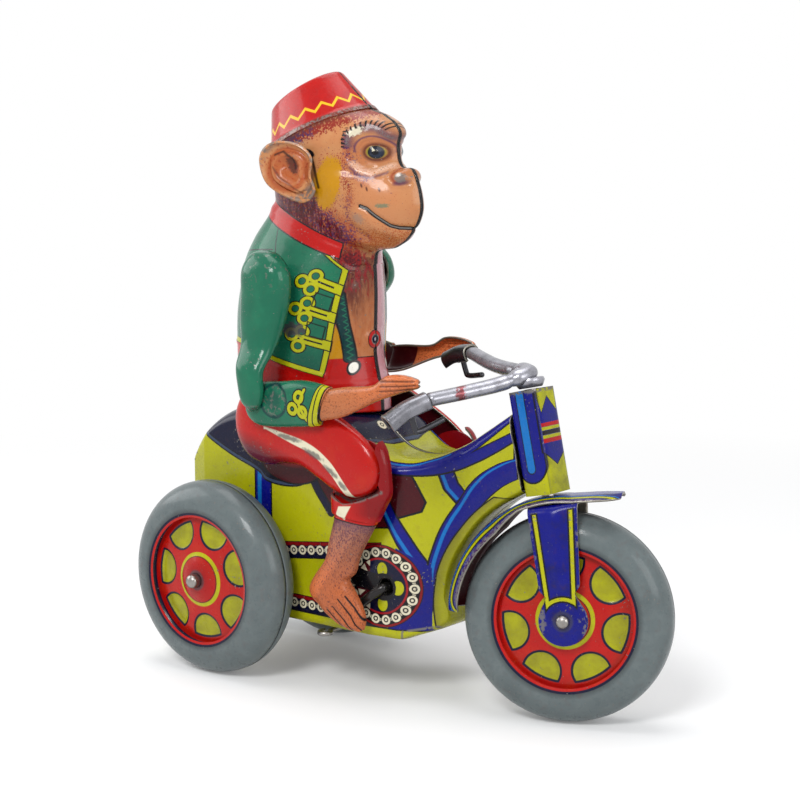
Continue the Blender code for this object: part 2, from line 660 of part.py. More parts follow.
def clockwork(root, pivots):
    """Plates with pillars, the spring, and the train from the great wheel to axle, crank and governor."""
    axle, crank = (0.0, WHEEL_RADIUS), (CRANK_X, CRANK_Z)
    great, idler, governor = great_centre(), idler_centre(), governor_centre()
    step = 2 * math.pi / GREAT_TEETH
    great_phase = toward(great, axle)
    spur("axle_pinion", AXLE_TEETH, toward(axle, great) + math.pi / AXLE_TEETH, pivots["rear_axle"],
         y=WHEEL_Y - 0.5, wide=2.0, bore=AXLE_RADIUS + GAP)
    spur("great_wheel", GREAT_TEETH, great_phase, pivots["great"], bore=ARBOR_RADIUS + 0.6 + GAP)

    def mate(own, other, teeth, other_teeth, other_phase):
        """Phase that puts a gap of one wheel on the tooth of the other along their centre line."""
        line = toward(other, own)
        offset = (line - other_phase) / (2 * math.pi / other_teeth)
        return line + math.pi + (offset - round(offset)) * 2 * math.pi / teeth + math.pi / teeth

    idler_phase = mate(idler, great, IDLER_TEETH, GREAT_TEETH, great_phase)
    spur("idler_wheel", IDLER_TEETH, idler_phase, pivots["idler"], y=WHEEL_Y - 0.4, wide=1.8,
         arbor=(-PLATE_Y - 0.6, PLATE_Y + 0.6, ARBOR_RADIUS))
    crank_phase = mate(crank, idler, CRANK_TEETH, IDLER_TEETH, idler_phase)
    spur("crank_wheel", CRANK_TEETH, crank_phase, pivots["crank"], bore=CRANK_WIRE + GAP)
    governor_phase = mate(governor, great, GOVERNOR_TEETH, GREAT_TEETH, great_phase)
    spur("governor", GOVERNOR_TEETH, governor_phase, pivots["governor"], y=WHEEL_Y - 0.4, wide=1.8,
         arbor=(-PLATE_Y - 0.6, PLATE_Y + 0.6, ARBOR_RADIUS))
    fly = bmesh.new()
    plate(fly, [(-3.4, -0.9), (3.4, -0.9), (3.4, 0.9), (-3.4, 0.9)], -2.0, -0.8)
    tidy(fly)
    cut(bpy.data.objects["governor"], finish("governor_fly", fly, "steel", pivots["governor"]), "UNION")

    arbor = bmesh.new()
    radius = ARBOR_RADIUS + 0.6
    stations = [(-PLATE_Y - 0.6, radius), (PLATE_Y + 0.9, radius)]
    grid(arbor, [ring_points((0, y, 0), (0, 1, 0), (1, 0, 0), r, 8) for y, r in stations], cap=True)
    tidy(arbor)
    winding = finish("winding_arbor", arbor, "steel", pivots["great"])
    square = bmesh.new()
    s = SQUARE_HALF
    plate(square, [(-s, -s), (s, -s), (s, s), (-s, s)], PLATE_Y + 0.7, SQUARE_END_Y)
    tidy(square)
    cut(winding, finish("winding_square", square, "steel", pivots["great"]), "UNION")

    spring = bmesh.new()
    rows = []
    steps = int(SPRING_TURNS * 12)
    for i in range(steps + 1):
        a = 2 * math.pi * SPRING_TURNS * i / steps
        r = SPRING_INNER + (SPRING_OUTER - SPRING_INNER) * i / steps
        rows.append([((r + dr) * math.cos(a), y, (r + dr) * math.sin(a))
                     for dr, y in ((0, SPRING_Y[0]), (0, SPRING_Y[1]), (SPRING_SHEET, SPRING_Y[1]),
                                   (SPRING_SHEET, SPRING_Y[0]))])
    grid(spring, rows, cap=True)
    tidy(spring)
    finish("mainspring", spring, "steel", pivots["great"])

    outline = [(-8.0, 13.2), (40.0, 13.2), (41.0, 21.0), (38.0, 33.0), (26.0, 44.0), (4.0, 46.0),
               (-6.0, 40.0), (-11.0, 27.0)]
    pillars = ((-6.5, 33.0), (31.0, 38.0), (25.0, 15.0), (-7.6, 16.6))
    bores = ((*axle, AXLE_RADIUS), (*crank, CRANK_WIRE), (*great, ARBOR_RADIUS + 0.6),
             (*idler, ARBOR_RADIUS), (*governor, ARBOR_RADIUS))
    for word, side in (("right", -1), ("left", 1)):
        bm = bmesh.new()
        plate(bm, outline, side * PLATE_Y, side * (PLATE_Y - PLATE_SHEET))
        tidy(bm)
        piece = finish(f"motor_plate_{word}", bm, "steel", root)
        for i, (x, z) in enumerate(pillars):
            if side > 0:
                post = rod(f"pillar_{i}", (x, -PLATE_Y + PLATE_SHEET + GAP, z), (x, PLATE_Y - 0.2, z), 1.1,
                           "steel", root, sides=8)
                cut(piece, post, "UNION")
        for i, (x, z, r) in enumerate(bores):
            bore = rod(f"plate_bore_{word}_{i}", (x, side * (PLATE_Y + 2), z), (x, side * (PLATE_Y - 2), z),
                       r + GAP, "steel", root)
            cut(piece, bore)


def crankshaft(pivot):
    """One bent wire: an axle across the body with a slanting throw to each foot."""
    def throw(degrees, side):
        a = math.radians(degrees)
        x, z = CRANK_THROW * math.cos(a), CRANK_THROW * math.sin(a)
        return [(0, side * (CRANK_BEND_Y - 0.7), 0), (0.3 * x, side * CRANK_BEND_Y, 0.3 * z),
                (0.92 * x, side * CRANK_BEND_Y, 0.92 * z), (x, side * (CRANK_END_Y - 0.55), z),
                (x, side * CRANK_END_Y, z)]
    right, left = throw(RIGHT_THROW_DEG, -1), throw(LEFT_THROW_DEG, 1)
    route = [Vector(p) for p in list(reversed(right)) + [(0, 0, 0)] + left]
    return wire("crankshaft", route, CRANK_WIRE, "black_wire", pivot)


def stop_lever(pivot):
    """Looped wire that hangs below the flange and starts or stops the clockwork."""
    route = [Vector((0, 5.4, 3.4)), Vector((0, 5.4, 0.6)), Vector((0, 4.8, 0.0)), Vector((0, -9.4, 0.0))]
    loop = 1.1
    for i in range(9):
        a = math.radians(90 - 310 * i / 8)
        route.append(Vector((loop * math.cos(a), -9.8 - loop + loop * math.sin(a), 0.0)))
    return wire("stop_lever", route, 0.45, "steel", pivot, sides=6)


# Rider

def rider_sections():
    """Sections of a rider half from the seat up: back point, front point, half width, and how square
    the section is behind and in front of its middle."""
    fez_tilt = math.radians(21.9)
    lean = Vector((-math.sin(fez_tilt), math.cos(fez_tilt)))
    brim = Vector((math.cos(fez_tilt), math.sin(fez_tilt)))
    base = Vector((12.8, 99.6))
    fez_height, fez_base, fez_top = 9.0, 11.7, 7.5

    def fez(share, spread=0.0):
        middle = base + lean * (fez_height * share)
        reach = fez_base + (fez_top - fez_base) * share + spread
        back, front = middle - brim * reach, middle + brim * reach
        return (tuple(back), tuple(front), 0.7 * reach, 2.0, 1.9)

    torso = [((-3.9, 49.6), (26.8, 49.6), 12.2, 2.3, 1.7),
             ((-4.2, 54.0), (26.4, 54.0), 12.6, 2.3, 1.7), ((-4.4, 60.0), (25.2, 60.0), 12.9, 2.2, 1.7),
             ((-4.6, 66.5), (25.3, 66.0), 12.9, 2.1, 1.7), ((-4.4, 71.5), (25.4, 70.5), 12.2, 2.0, 1.7),
             ((-3.9, 76.0), (25.3, 74.0), 11.1, 2.0, 1.7), ((-2.0, 80.5), (25.2, 76.8), 9.4, 2.0, 1.8),
             ((1.0, 84.6), (26.0, 78.6), 7.6, 2.1, 1.8)]
    head = [((2.6, 87.0), (30.0, 79.4), 7.3, 2.2, 1.7), ((2.9, 88.4), (33.6, 82.0), 7.8, 2.3, 1.6),
            ((2.7, 89.7), (35.5, 85.4), 8.1, 2.3, 1.5), ((2.4, 90.9), (35.4, 88.6), 8.4, 2.3, 1.45),
            ((2.2, 91.9), (34.4, 91.4), 8.5, 2.3, 1.4), ((2.1, 92.6), (31.4, 93.6), 8.6, 2.3, 1.5),
            ((2.0, 93.2), (30.7, 97.0), 8.6, 2.3, 1.7), ((2.0, 93.8), (30.4, 100.2), 8.6, 2.3, 1.8),
            ((2.0, 94.2), (27.2, 102.8), 8.3, 2.2, 1.8)]
    return torso + head + [fez(-0.03, 0.5), fez(0.1, 0.35), fez(0.45), fez(0.92), fez(1.0, -0.6)]


def rider_half(name, side, parent):
    """One stamped half of the rider, a stack of half ellipses from the seat to the top of the fez."""
    rows = []
    steps = 8
    sections = rider_sections()
    for back, front, wide, power, nose_power in sections:
        back, front = Vector(back), Vector(front)
        middle, reach = (back + front) / 2, (front - back) / 2
        row = []
        for i in range(steps + 1):
            a = math.pi * i / steps
            shape = power if i <= steps / 2 else nose_power
            along = -math.copysign(abs(math.cos(a)) ** (2 / shape), math.cos(a))
            across = wide * abs(math.sin(a)) ** (2 / shape)
            point = middle + reach * along
            row.append((point.x, side * across, point.y))
        rows.append(row)
    back, front = sections[-1][:2]
    top = (Vector(back) + Vector(front)) / 2
    rows.append([(Vector(back).lerp(Vector(front), i / steps).x, 0.0,
                  Vector(back).lerp(Vector(front), i / steps).y + 0.25) for i in range(steps + 1)])
    bm = bmesh.new()
    grid(bm, rows)
    bmesh.ops.remove_doubles(bm, verts=bm.verts, dist=0.004)
    bm.normal_update()
    turn_from(bm, (11.0, 0.0, 80.0))
    return trim_seam(sheet(finish(name, bm, "green_tin", parent)), side, parent)


def ear(name, side, parent):
    """A stamped ear: a dished leaf that stands off the side of the head on its tab."""
    outline = ((-5.2, 1.6), (-4.2, 4.2), (-1.4, 5.3), (2.4, 4.6), (4.6, 2.4), (4.4, -1.0), (5.2, -3.6),
               (3.4, -5.6), (0.4, -5.0), (-3.8, -2.4))
    bm = bmesh.new()
    rows = []
    for share, lift in ((1.0, 0.0), (0.78, -0.7), (0.35, -0.9)):
        rows.append([(x * share, side * (1.6 - 0.32 * x + lift), z * share) for x, z in outline])
    closed = [row + [row[0]] for row in rows]
    made = grid(bm, closed)
    bmesh.ops.remove_doubles(bm, verts=bm.verts, dist=0.004)
    bm.verts.ensure_lookup_table()
    hole = [edge for edge in bm.edges if edge.is_boundary
            and all(abs(v.co.x) < 2.0 and abs(v.co.z) < 2.2 for v in edge.verts)]
    bmesh.ops.contextual_create(bm, geom=hole)
    bmesh.ops.triangulate(bm, faces=[f for f in bm.faces if len(f.verts) > 4])
    bm.normal_update()
    turn_from(bm, (0, -side * 4.0, 0))
    return sheet(finish(name, bm, "fur_tin", parent), 0.45)


def limb_shell(bm, stations, side):
    """A half round stamping along a limb, open towards the body. Each station is (x, z, angle of the
    cross line in degrees, half width, inner distance, depth)."""
    steps = 6
    rows = []
    for x, z, degrees, wide, inner, depth in stations:
        a = math.radians(degrees)
        across = Vector((math.cos(a), math.sin(a)))
        row = []
        for i in range(steps + 1):
            b = math.pi * i / steps
            shape = abs(math.sin(b)) ** 0.7
            lateral = -math.copysign(abs(math.cos(b)) ** 0.8, math.cos(b))
            row.append((x + across.x * wide * lateral, side * (inner + depth * shape),
                        z + across.y * wide * lateral))
        rows.append(row)
    grid(bm, rows)
    bmesh.ops.remove_doubles(bm, verts=bm.verts, dist=0.004)
    bm.normal_update()
    middle = stations[len(stations) // 2]
    turn_from(bm, (middle[0], side * middle[4], middle[1]))


def from_pivot(stations, pivot):
    """Stations drawn in the side view, measured from a pivot instead."""
    px, pz = pivot
    return [(x - px, z - pz, *rest) for x, z, *rest in stations]


def thigh(name, side, pivot):
    """Thigh, from the rounded hip to the rounded knee end that lies in the lower leg's cup."""
    hip, knee = THIGH_HIP_INNER, THIGH_KNEE_INNER
    deep, thin = THIGH_OUTER - hip, THIGH_OUTER - knee
    stations = [(3.6, 47.0, 90, 0.5, hip, 0.5), (4.4, 47.2, 92, 3.4, hip, 1.9), (7.0, 47.4, 90, 6.4, hip, 2.9),
                (11.5, 47.4, 88, 7.5, hip, deep), (16.6, 47.3, 82, 6.8, hip, deep),
                (21.6, 46.4, 72, 6.1, hip + 0.3, deep - 0.3), (26.8, 44.4, 64, 6.1, hip + 0.8, deep - 0.8),
                (30.3, 42.7, 60, 6.0, knee, thin), (33.2, 41.2, 58, 5.4, knee, thin),
                (35.4, 40.1, 58, 4.2, knee, thin - 0.3), (36.9, 39.4, 58, 2.4, knee, thin - 0.9),
                (37.5, 39.1, 58, 0.5, knee, 0.5)]
    bm = bmesh.new()
    limb_shell(bm, from_pivot(stations, HIP), side)
    return sheet(finish(name, bm, "red_tin", pivot))


def lower_leg(name, side, pivot):
    """Lower leg and foot: a cup open on the outside round the knee, then cuff, calf, heel and toes."""
    inner, depth = LEG_INNER, LEG_DEPTH
    stations = [(32.6, 48.9, 0, 0.5, inner, 0.5), (32.8, 48.2, 0, 3.2, inner, depth - 0.6),
                (33.2, 46.2, 0, 5.2, inner, depth), (33.2, 43.6, 0, 6.2, inner, depth),
                (33.2, 40.6, 0, 6.6, inner, depth), (33.3, 37.8, 0, 6.6, inner, depth),
                (32.7, 35.6, -3, 5.9, inner, depth), (32.1, 33.1, -4, 5.1, inner, depth - 0.1),
                (32.0, 32.5, -5, 4.5, inner, depth - 0.6), (29.6, 27.2, -10, 3.6, inner, depth - 0.8),
                (28.4, 23.6, -8, 3.5, inner, depth - 0.8), (25.9, 20.0, 17, 4.6, inner, depth - 0.5),
                (27.6, 17.6, 25, 4.3, inner, depth - 0.5), (30.0, 15.2, 26, 3.6, inner, depth - 0.8),
                (31.9, 13.5, 28, 2.3, inner, depth - 1.2), (33.0, 12.4, 28, 0.6, inner, 0.7)]
    bm = bmesh.new()
    limb_shell(bm, from_pivot(stations, KNEE), side)
    piece = sheet(finish(name, bm, "fur_tin", pivot))
    reach = 6.9
    lip = ((20.0, 36.6), (27.4, 36.6), (31.0, 35.5), (35.2, 36.6), (38.9, 38.3))
    arc = [(KNEE[0] + reach * math.cos(math.radians(d)), KNEE[1] + reach * math.sin(math.radians(d)))
           for d in (-18.0, 0.0, 16.0, 30.0)]
    cup = [(x - KNEE[0], z - KNEE[1]) for x, z in (*lip, *arc, (37.4, 53.0), (20.0, 53.0))]
    room = bmesh.new()
    plate(room, cup, side * (LEG_INNER - 1.0), side * 25.0)
    tidy(room)
    cut(piece, finish(f"{name}_cup", room, "steel", pivot))
    lug = [(x - KNEE[0], z - KNEE[1]) for x, z in ((27.3, 35.0), (33.0, 34.6), (38.6, 36.4), (39.5, 38.4),
                                                   (39.3, 42.0), (38.2, 44.8), (35.4, 46.6), (31.4, 46.4),
                                                   (28.2, 43.8), (27.0, 39.4))]
    back = bmesh.new()
    plate(back, lug, side * LEG_INNER, side * (LEG_INNER + TIN))
    tidy(back)
    return cut(piece, finish(f"{name}_lug", back, "steel", pivot), "UNION")


def upper_arm(name, side, pivot):
    """Upper arm: a smooth drop, widest at the shoulder, leaning outward to pass over the elbow."""
    top, low = SHOULDER_INNER, ELBOW_INNER
    deep, thin = SHOULDER_OUTER - top, ELBOW_OUTER - low
    stations = [(11.3, 78.8, 0, 0.5, top, 0.5), (11.4, 78.1, 0, 2.9, top, 2.4), (11.8, 75.4, 0, 4.9, top, deep - 0.2),
                (11.9, 71.0, 0, 5.1, top + 0.1, deep), (11.8, 66.4, 0, 4.7, top + 0.9, deep - 0.4),
                (12.0, 62.0, -4, 3.7, top + 2.6, deep - 1.5), (12.3, 58.2, -6, 3.0, low - 0.2, thin + 0.1),
                (12.6, 54.6, -8, 2.8, low, thin), (12.6, 52.0, -8, 2.1, low, thin - 0.3),
                (12.4, 50.5, -8, 0.5, low, 0.5)]
    bm = bmesh.new()
    limb_shell(bm, from_pivot(stations, SHOULDER), side)
    return sheet(finish(name, bm, "green_tin", pivot))


def forearm(name, side, pivot):
    """Forearm, cuff and hand, with the fingers reaching over the grip."""
    inner = FOREARM_INNER
    depth = FOREARM_OUTER - inner
    stations = [(9.4, 51.6, 90, 0.5, inner, 0.5), (10.1, 51.6, 90, 2.6, inner, 1.6), (12.6, 51.6, 90, 3.9, inner, depth),
                (17.2, 51.9, 92, 4.1, inner, depth), (22.8, 52.5, 90, 4.1, inner, depth),
                (27.8, 52.5, 72, 3.7, inner, depth), (28.4, 52.8, 74, 3.0, inner, depth - 0.4),
                (32.4, 53.7, 86, 2.6, inner, depth - 0.5), (38.6, 55.6, 94, 1.5, inner, depth - 0.6),
                (42.0, 57.2, 100, 1.8, inner, depth - 0.4), (45.0, 57.9, 94, 1.5, inner, depth - 0.4),
                (47.8, 58.1, 90, 0.9, inner, depth - 0.8), (48.6, 58.1, 90, 0.4, inner, 0.6)]
    bm = bmesh.new()
    limb_shell(bm, from_pivot(stations, ELBOW), side)
    return sheet(finish(name, bm, "green_tin", pivot))


def rivet(name, side, place, inner, outer, parent):
    """A blind pivot rivet between two stampings."""
    x, z = place
    return rod(name, (x, side * inner, z), (x, side * outer, z), RIVET_RADIUS, "steel", parent, sides=8)


def y_turn(degrees):
    """Rotation about the sideways axis; positive lowers what points forward."""
    return Matrix.Rotation(math.radians(degrees), 3, "Y")


def rider(frame):
    """The rider's halves, ears and jointed limbs, seated as one on the saddle."""
    root = empty("rider_seat", frame, (0, 0, SADDLE_TOP - 49.2))
    rider_half("rider_right_half", -1, root)
    rider_half("rider_left_half", 1, root)
    for word, side in (("right", -1), ("left", 1)):
        ear(f"ear_{word}", side, empty(f"ear_{word}_seat", root, (14.0, side * 9.8, 92.9)))
        thigh_turn = LEFT_THIGH_DEG if side > 0 else 0.0
        shin_turn = LEFT_SHIN_DEG if side > 0 else 0.0
        upper_turn = LEFT_UPPER_ARM_DEG if side > 0 else 0.0
        fore_turn = LEFT_FOREARM_DEG if side > 0 else 0.0
        hip = empty(f"hip_{word}", root, (HIP[0], 0, HIP[1]), y_turn(thigh_turn))
        knee = empty(f"knee_{word}", hip, (KNEE[0] - HIP[0], 0, KNEE[1] - HIP[1]), y_turn(shin_turn - thigh_turn))
        shoulder = empty(f"shoulder_{word}", root, (SHOULDER[0], 0, SHOULDER[1]), y_turn(upper_turn))
        elbow = empty(f"elbow_{word}", shoulder, (ELBOW[0] - SHOULDER[0], 0, ELBOW[1] - SHOULDER[1]),
                      y_turn(fore_turn - upper_turn))
        thigh(f"thigh_{word}", side, hip)
        lower_leg(f"lower_leg_{word}", side, knee)
        upper_arm(f"upper_arm_{word}", side, shoulder)
        forearm(f"forearm_{word}", side, elbow)
        rivet(f"hip_rivet_{word}", side, HIP, BODY_HALF_WIDTH + GAP, THIGH_OUTER - TIN - GAP, root)
        rivet(f"knee_rivet_{word}", side, (0, 0), LEG_INNER + TIN + GAP, THIGH_OUTER - TIN - GAP, knee)
        rivet(f"shoulder_rivet_{word}", side, SHOULDER, 11.8, SHOULDER_OUTER - TIN - GAP - 0.1, root)
        rivet(f"elbow_rivet_{word}", side, (0, 0), FOREARM_OUTER + GAP, ELBOW_OUTER - 1.2, elbow)


def main():
    """Clear the file, set up the frames and build each sub-assembly."""
    for old in list(bpy.data.objects):
        bpy.data.objects.remove(old, do_unlink=True)
    steer_reach = (WHEEL_RADIUS - TYRE_RADIUS) * math.sqrt(1 - (math.sin(math.radians(STEER_DEG))
                                                                * math.cos(math.radians(RAKE_DEG))) ** 2)
    origin_x = (WHEELBASE + steer_reach + TYRE_RADIUS - WHEEL_RADIUS) / 2
    root = empty("toy_frame", None, (-origin_x, 0, 0))
    rake = y_turn(-RAKE_DEG)
    steer = Matrix.Rotation(math.radians(STEER_DEG), 3, "Z")
    head = empty("head_axis", root, (WHEELBASE, 0, WHEEL_RADIUS), rake)
    steering = empty("steering_axis", root, (WHEELBASE, 0, WHEEL_RADIUS), rake @ steer)
    roll_turn = (Matrix.Rotation(math.radians(BAR_TURN_DEG), 3, "Z")
                 @ Matrix.Rotation(math.radians(BAR_ROLL_DEG), 3, "X"))
    roll = empty("handlebar_roll", steering, (0, 0, BAR_HEIGHT), roll_turn)
    places = {"rear_axle": (0.0, WHEEL_RADIUS), "crank": (CRANK_X, CRANK_Z), "great": great_centre(),
              "idler": idler_centre(), "governor": governor_centre()}
    pivots = {name: empty(f"{name}_pivot", root, (x, 0, z)) for name, (x, z) in places.items()}
    pivots["steering"] = steering
    wheels(pivots)
    fork(steering)
    fender(steering)
    steering_pin(steering)
    handlebar(steering, roll)
    head_tube(head)
    body_half("body_right_half", -1, root)
    body_half("body_left_half", 1, root)
    clockwork(root, pivots)
    crankshaft(pivots["crank"])
    stop_lever(empty("stop_lever_pivot", root, (22.0, 0, 9.6)))
    rider(root)
    bpy.context.view_layer.update()


main()
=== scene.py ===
"""Looks of a clockwork tinplate monkey that rides a three-wheeled cycle.

Sizes are millimetres in the drawing frame: +X forward, +Y to the rider's left, +Z up, with x = 0 at
the rear axle and z = 0 on the ground. Frame.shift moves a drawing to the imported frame.
"""

import json
import logging
import math
from dataclasses import dataclass
from enum import Enum
from functools import reduce
from typing import Any

import bmesh
import bpy
import numpy as np
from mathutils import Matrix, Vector

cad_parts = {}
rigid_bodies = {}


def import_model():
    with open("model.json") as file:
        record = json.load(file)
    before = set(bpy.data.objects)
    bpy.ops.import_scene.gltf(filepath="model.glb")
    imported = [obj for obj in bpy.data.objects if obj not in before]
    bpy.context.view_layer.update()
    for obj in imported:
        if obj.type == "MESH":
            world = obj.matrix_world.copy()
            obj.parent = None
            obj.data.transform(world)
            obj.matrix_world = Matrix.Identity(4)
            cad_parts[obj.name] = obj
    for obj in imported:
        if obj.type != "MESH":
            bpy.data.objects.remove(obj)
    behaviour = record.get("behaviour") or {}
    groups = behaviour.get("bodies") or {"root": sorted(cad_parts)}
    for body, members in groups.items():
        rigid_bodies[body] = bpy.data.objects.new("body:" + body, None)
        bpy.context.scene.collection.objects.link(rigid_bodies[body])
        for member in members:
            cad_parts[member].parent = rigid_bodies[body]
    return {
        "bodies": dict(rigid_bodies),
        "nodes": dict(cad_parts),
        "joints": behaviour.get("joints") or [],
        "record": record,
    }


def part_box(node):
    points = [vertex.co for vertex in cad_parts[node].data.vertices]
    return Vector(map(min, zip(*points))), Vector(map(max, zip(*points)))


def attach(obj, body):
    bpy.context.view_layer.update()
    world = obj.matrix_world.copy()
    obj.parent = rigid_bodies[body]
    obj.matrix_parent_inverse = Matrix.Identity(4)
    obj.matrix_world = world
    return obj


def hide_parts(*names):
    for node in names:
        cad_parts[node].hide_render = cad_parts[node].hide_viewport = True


MM = 0.001
LOG = logging.getLogger("tin_rider")

Array = np.ndarray
Piece = bpy.types.Object
Coating = bpy.types.Material

# Driving sizes shared with the solids
TIN = 0.4
SEAM = 0.15
WELD_M = 2e-6
SLIVER_M = 1e-6
WHEELBASE = 67.5
WHEEL_RADIUS = 18.0
RAKE_DEG = 12.2
STEER_DEG = 23.8
BAR_TURN_DEG = -5.8
BAR_ROLL_DEG = 14.4
BAR_HEIGHT = 41.6
HIP = (12, 47.5)
KNEE = (31.8, 41.6)
SHOULDER = (11.8, 73.6)
ELBOW = (12.8, 53)
LEFT_THIGH_DEG = 7.7
LEFT_SHIN_DEG = -14.3
LEFT_UPPER_ARM_DEG = 42.5
LEFT_FOREARM_DEG = 4.1
CRANK = (35.8, 20.1)
FEZ_BASE = (12.8, 99.6)
FEZ_TILT_DEG = 21.9


@dataclass(frozen=True)
class Tint:
    """A colour as a screen shows it, each part from 0 to 255."""

    red: float
    green: float
    blue: float

    @property
    def linear(self) -> tuple[float, float, float, float]:
        """The colour as linear light with full alpha."""
        parts = np.array([self.red, self.green, self.blue]) / 255.0
        light = np.where(parts <= 0.04045, parts / 12.92, ((parts + 0.055) / 1.055) ** 2.4)
        return (*map(float, light), 1.0)


# The printer's inks and the bare metals of the toy
YELLOW = Tint(168, 168, 12)
OLIVE = Tint(132, 128, 30)
NAVY = Tint(10, 13, 42)
BLUE = Tint(9, 15, 116)
SKY = Tint(14, 104, 176)
SLATE = Tint(52, 66, 92)
BLACK = Tint(14, 13, 18)
RED = Tint(172, 16, 12)
ORANGE_RED = Tint(178, 42, 14)
DEEP_RED = Tint(126, 12, 18)
MAROON = Tint(66, 6, 16)
PURPLE = Tint(66, 36, 78)
CREAM = Tint(214, 206, 180)
WORN = Tint(112, 108, 104)
GREEN = Tint(20, 94, 70)
LEAF = Tint(32, 116, 84)
PINE = Tint(8, 50, 52)
TAN = Tint(182, 126, 82)
FUR = Tint(176, 106, 66)
FOOT = Tint(206, 112, 64)
SHIN = Tint(134, 98, 86)
BLUSH = Tint(200, 148, 158)
GOLD = Tint(222, 178, 34)
RUST = Tint(160, 74, 34)
OCHRE = Tint(180, 126, 14)
FLESH = Tint(186, 122, 80)
BROWN = Tint(92, 48, 34)
GREY = Tint(92, 101, 102)
PALE_GREY = Tint(112, 120, 120)
SILVER = Tint(158, 158, 166)
STEEL = Tint(150, 146, 142)
TIN_EDGE = Tint(142, 138, 128)
GUNMETAL = Tint(62, 62, 66)
BRASS = Tint(196, 158, 84)
WHITE = Tint(236, 232, 222)


@dataclass(frozen=True)
class Finish:
    """How a surface shines and how it is worn.

    dents is the height of the shallow waves left by the press, and grain that of the fine skin, both
    in millimetres. chips is the share of paint lost in specks, and grime the depth of the dirt.
    """

    roughness: float = 0.3
    metallic: float = 0.0
    coat: float = 0.35
    dents: float = 0.05
    grain: float = 0.006
    chips: float = 0.35
    grime: float = 0.25
    bare: Tint = WORN


class Side(Enum):
    """The two sides of the toy, with the sign of Y."""

    RIGHT = -1
    LEFT = 1

    @property
    def word(self) -> str:
        """The side's word in node names."""
        return self.name.lower()


def feed(node: Any, inputs: Any) -> None:
    """Give a node's inputs values, sockets or fields, in order or by name; None leaves one as it is."""
    for key, value in inputs.items() if isinstance(inputs, dict) else enumerate(inputs):
        value = value.value if isinstance(value, Field) else value
        if isinstance(value, bpy.types.NodeSocket):
            node.id_data.links.new(value, node.inputs[key])
        elif value is not None:
            node.inputs[key].default_value = value


def wire(nodes: Any, kind: str, inputs: Any = (), out: Any = 0, **settings: Any) -> Any:
    """Add a shader node with its settings and inputs, and give the socket of one output."""
    node = nodes.new(f"ShaderNode{kind}")
    for key, value in settings.items():
        setattr(node, key, value)
    feed(node, inputs)
    return node.outputs[out]


class Field:
    """A number that varies over a surface: a shader socket, or a plain number."""

    def __init__(self, print_: "Litho", value: Any) -> None:
        """Keep the print that the field belongs to and its value."""
        self.print = print_
        self.value = value

    def _do(self, name: str, *others: Any, clamp: bool = False) -> "Field":
        """The field after one step of arithmetic with other fields or numbers."""
        return self.print.arithmetic(name, self, *others, clamp=clamp)

    def __add__(self, other: Any) -> "Field":
        """Sum."""
        return self._do("ADD", other)

    def __sub__(self, other: Any) -> "Field":
        """Difference."""
        return self._do("SUBTRACT", other)

    def __rsub__(self, other: float) -> "Field":
        """Difference from a number."""
        return self.print.arithmetic("SUBTRACT", other, self)

    def __mul__(self, other: Any) -> "Field":
        """Product."""
        return self._do("MULTIPLY", other)

    def __neg__(self) -> "Field":
        """The field with its sign turned."""
        return self._do("MULTIPLY", -1.0)

    def __abs__(self) -> "Field":
        """Distance from zero."""
        return self._do("ABSOLUTE")

    def low(self, other: Any) -> "Field":
        """The smaller of two; joins two shapes."""
        return self._do("MINIMUM", other)

    def high(self, other: Any) -> "Field":
        """The larger of two; keeps what two shapes share."""
        return self._do("MAXIMUM", other)

    def inside(self, soft: float = 0.05) -> "Field":
        """1 where a distance is below zero and 0 above, over a soft edge in millimetres."""
        return self.print.arithmetic("MULTIPLY_ADD", self, -0.5 / soft, 0.5, clamp=True)

    def rise(self, start: float, end: float) -> "Field":
        """0 below start, 1 above end and a straight rise between."""
        scale = 1.0 / (end - start)
        return self.print.arithmetic("MULTIPLY_ADD", self, scale, -start * scale, clamp=True)

    def repeat(self, period: float, phase: float = 0.0) -> "Field":
        """Distance from the nearest of evenly spaced marks, signed, with a mark at phase."""
        return (self - (phase - period / 2))._do("FLOORED_MODULO", period) - period / 2


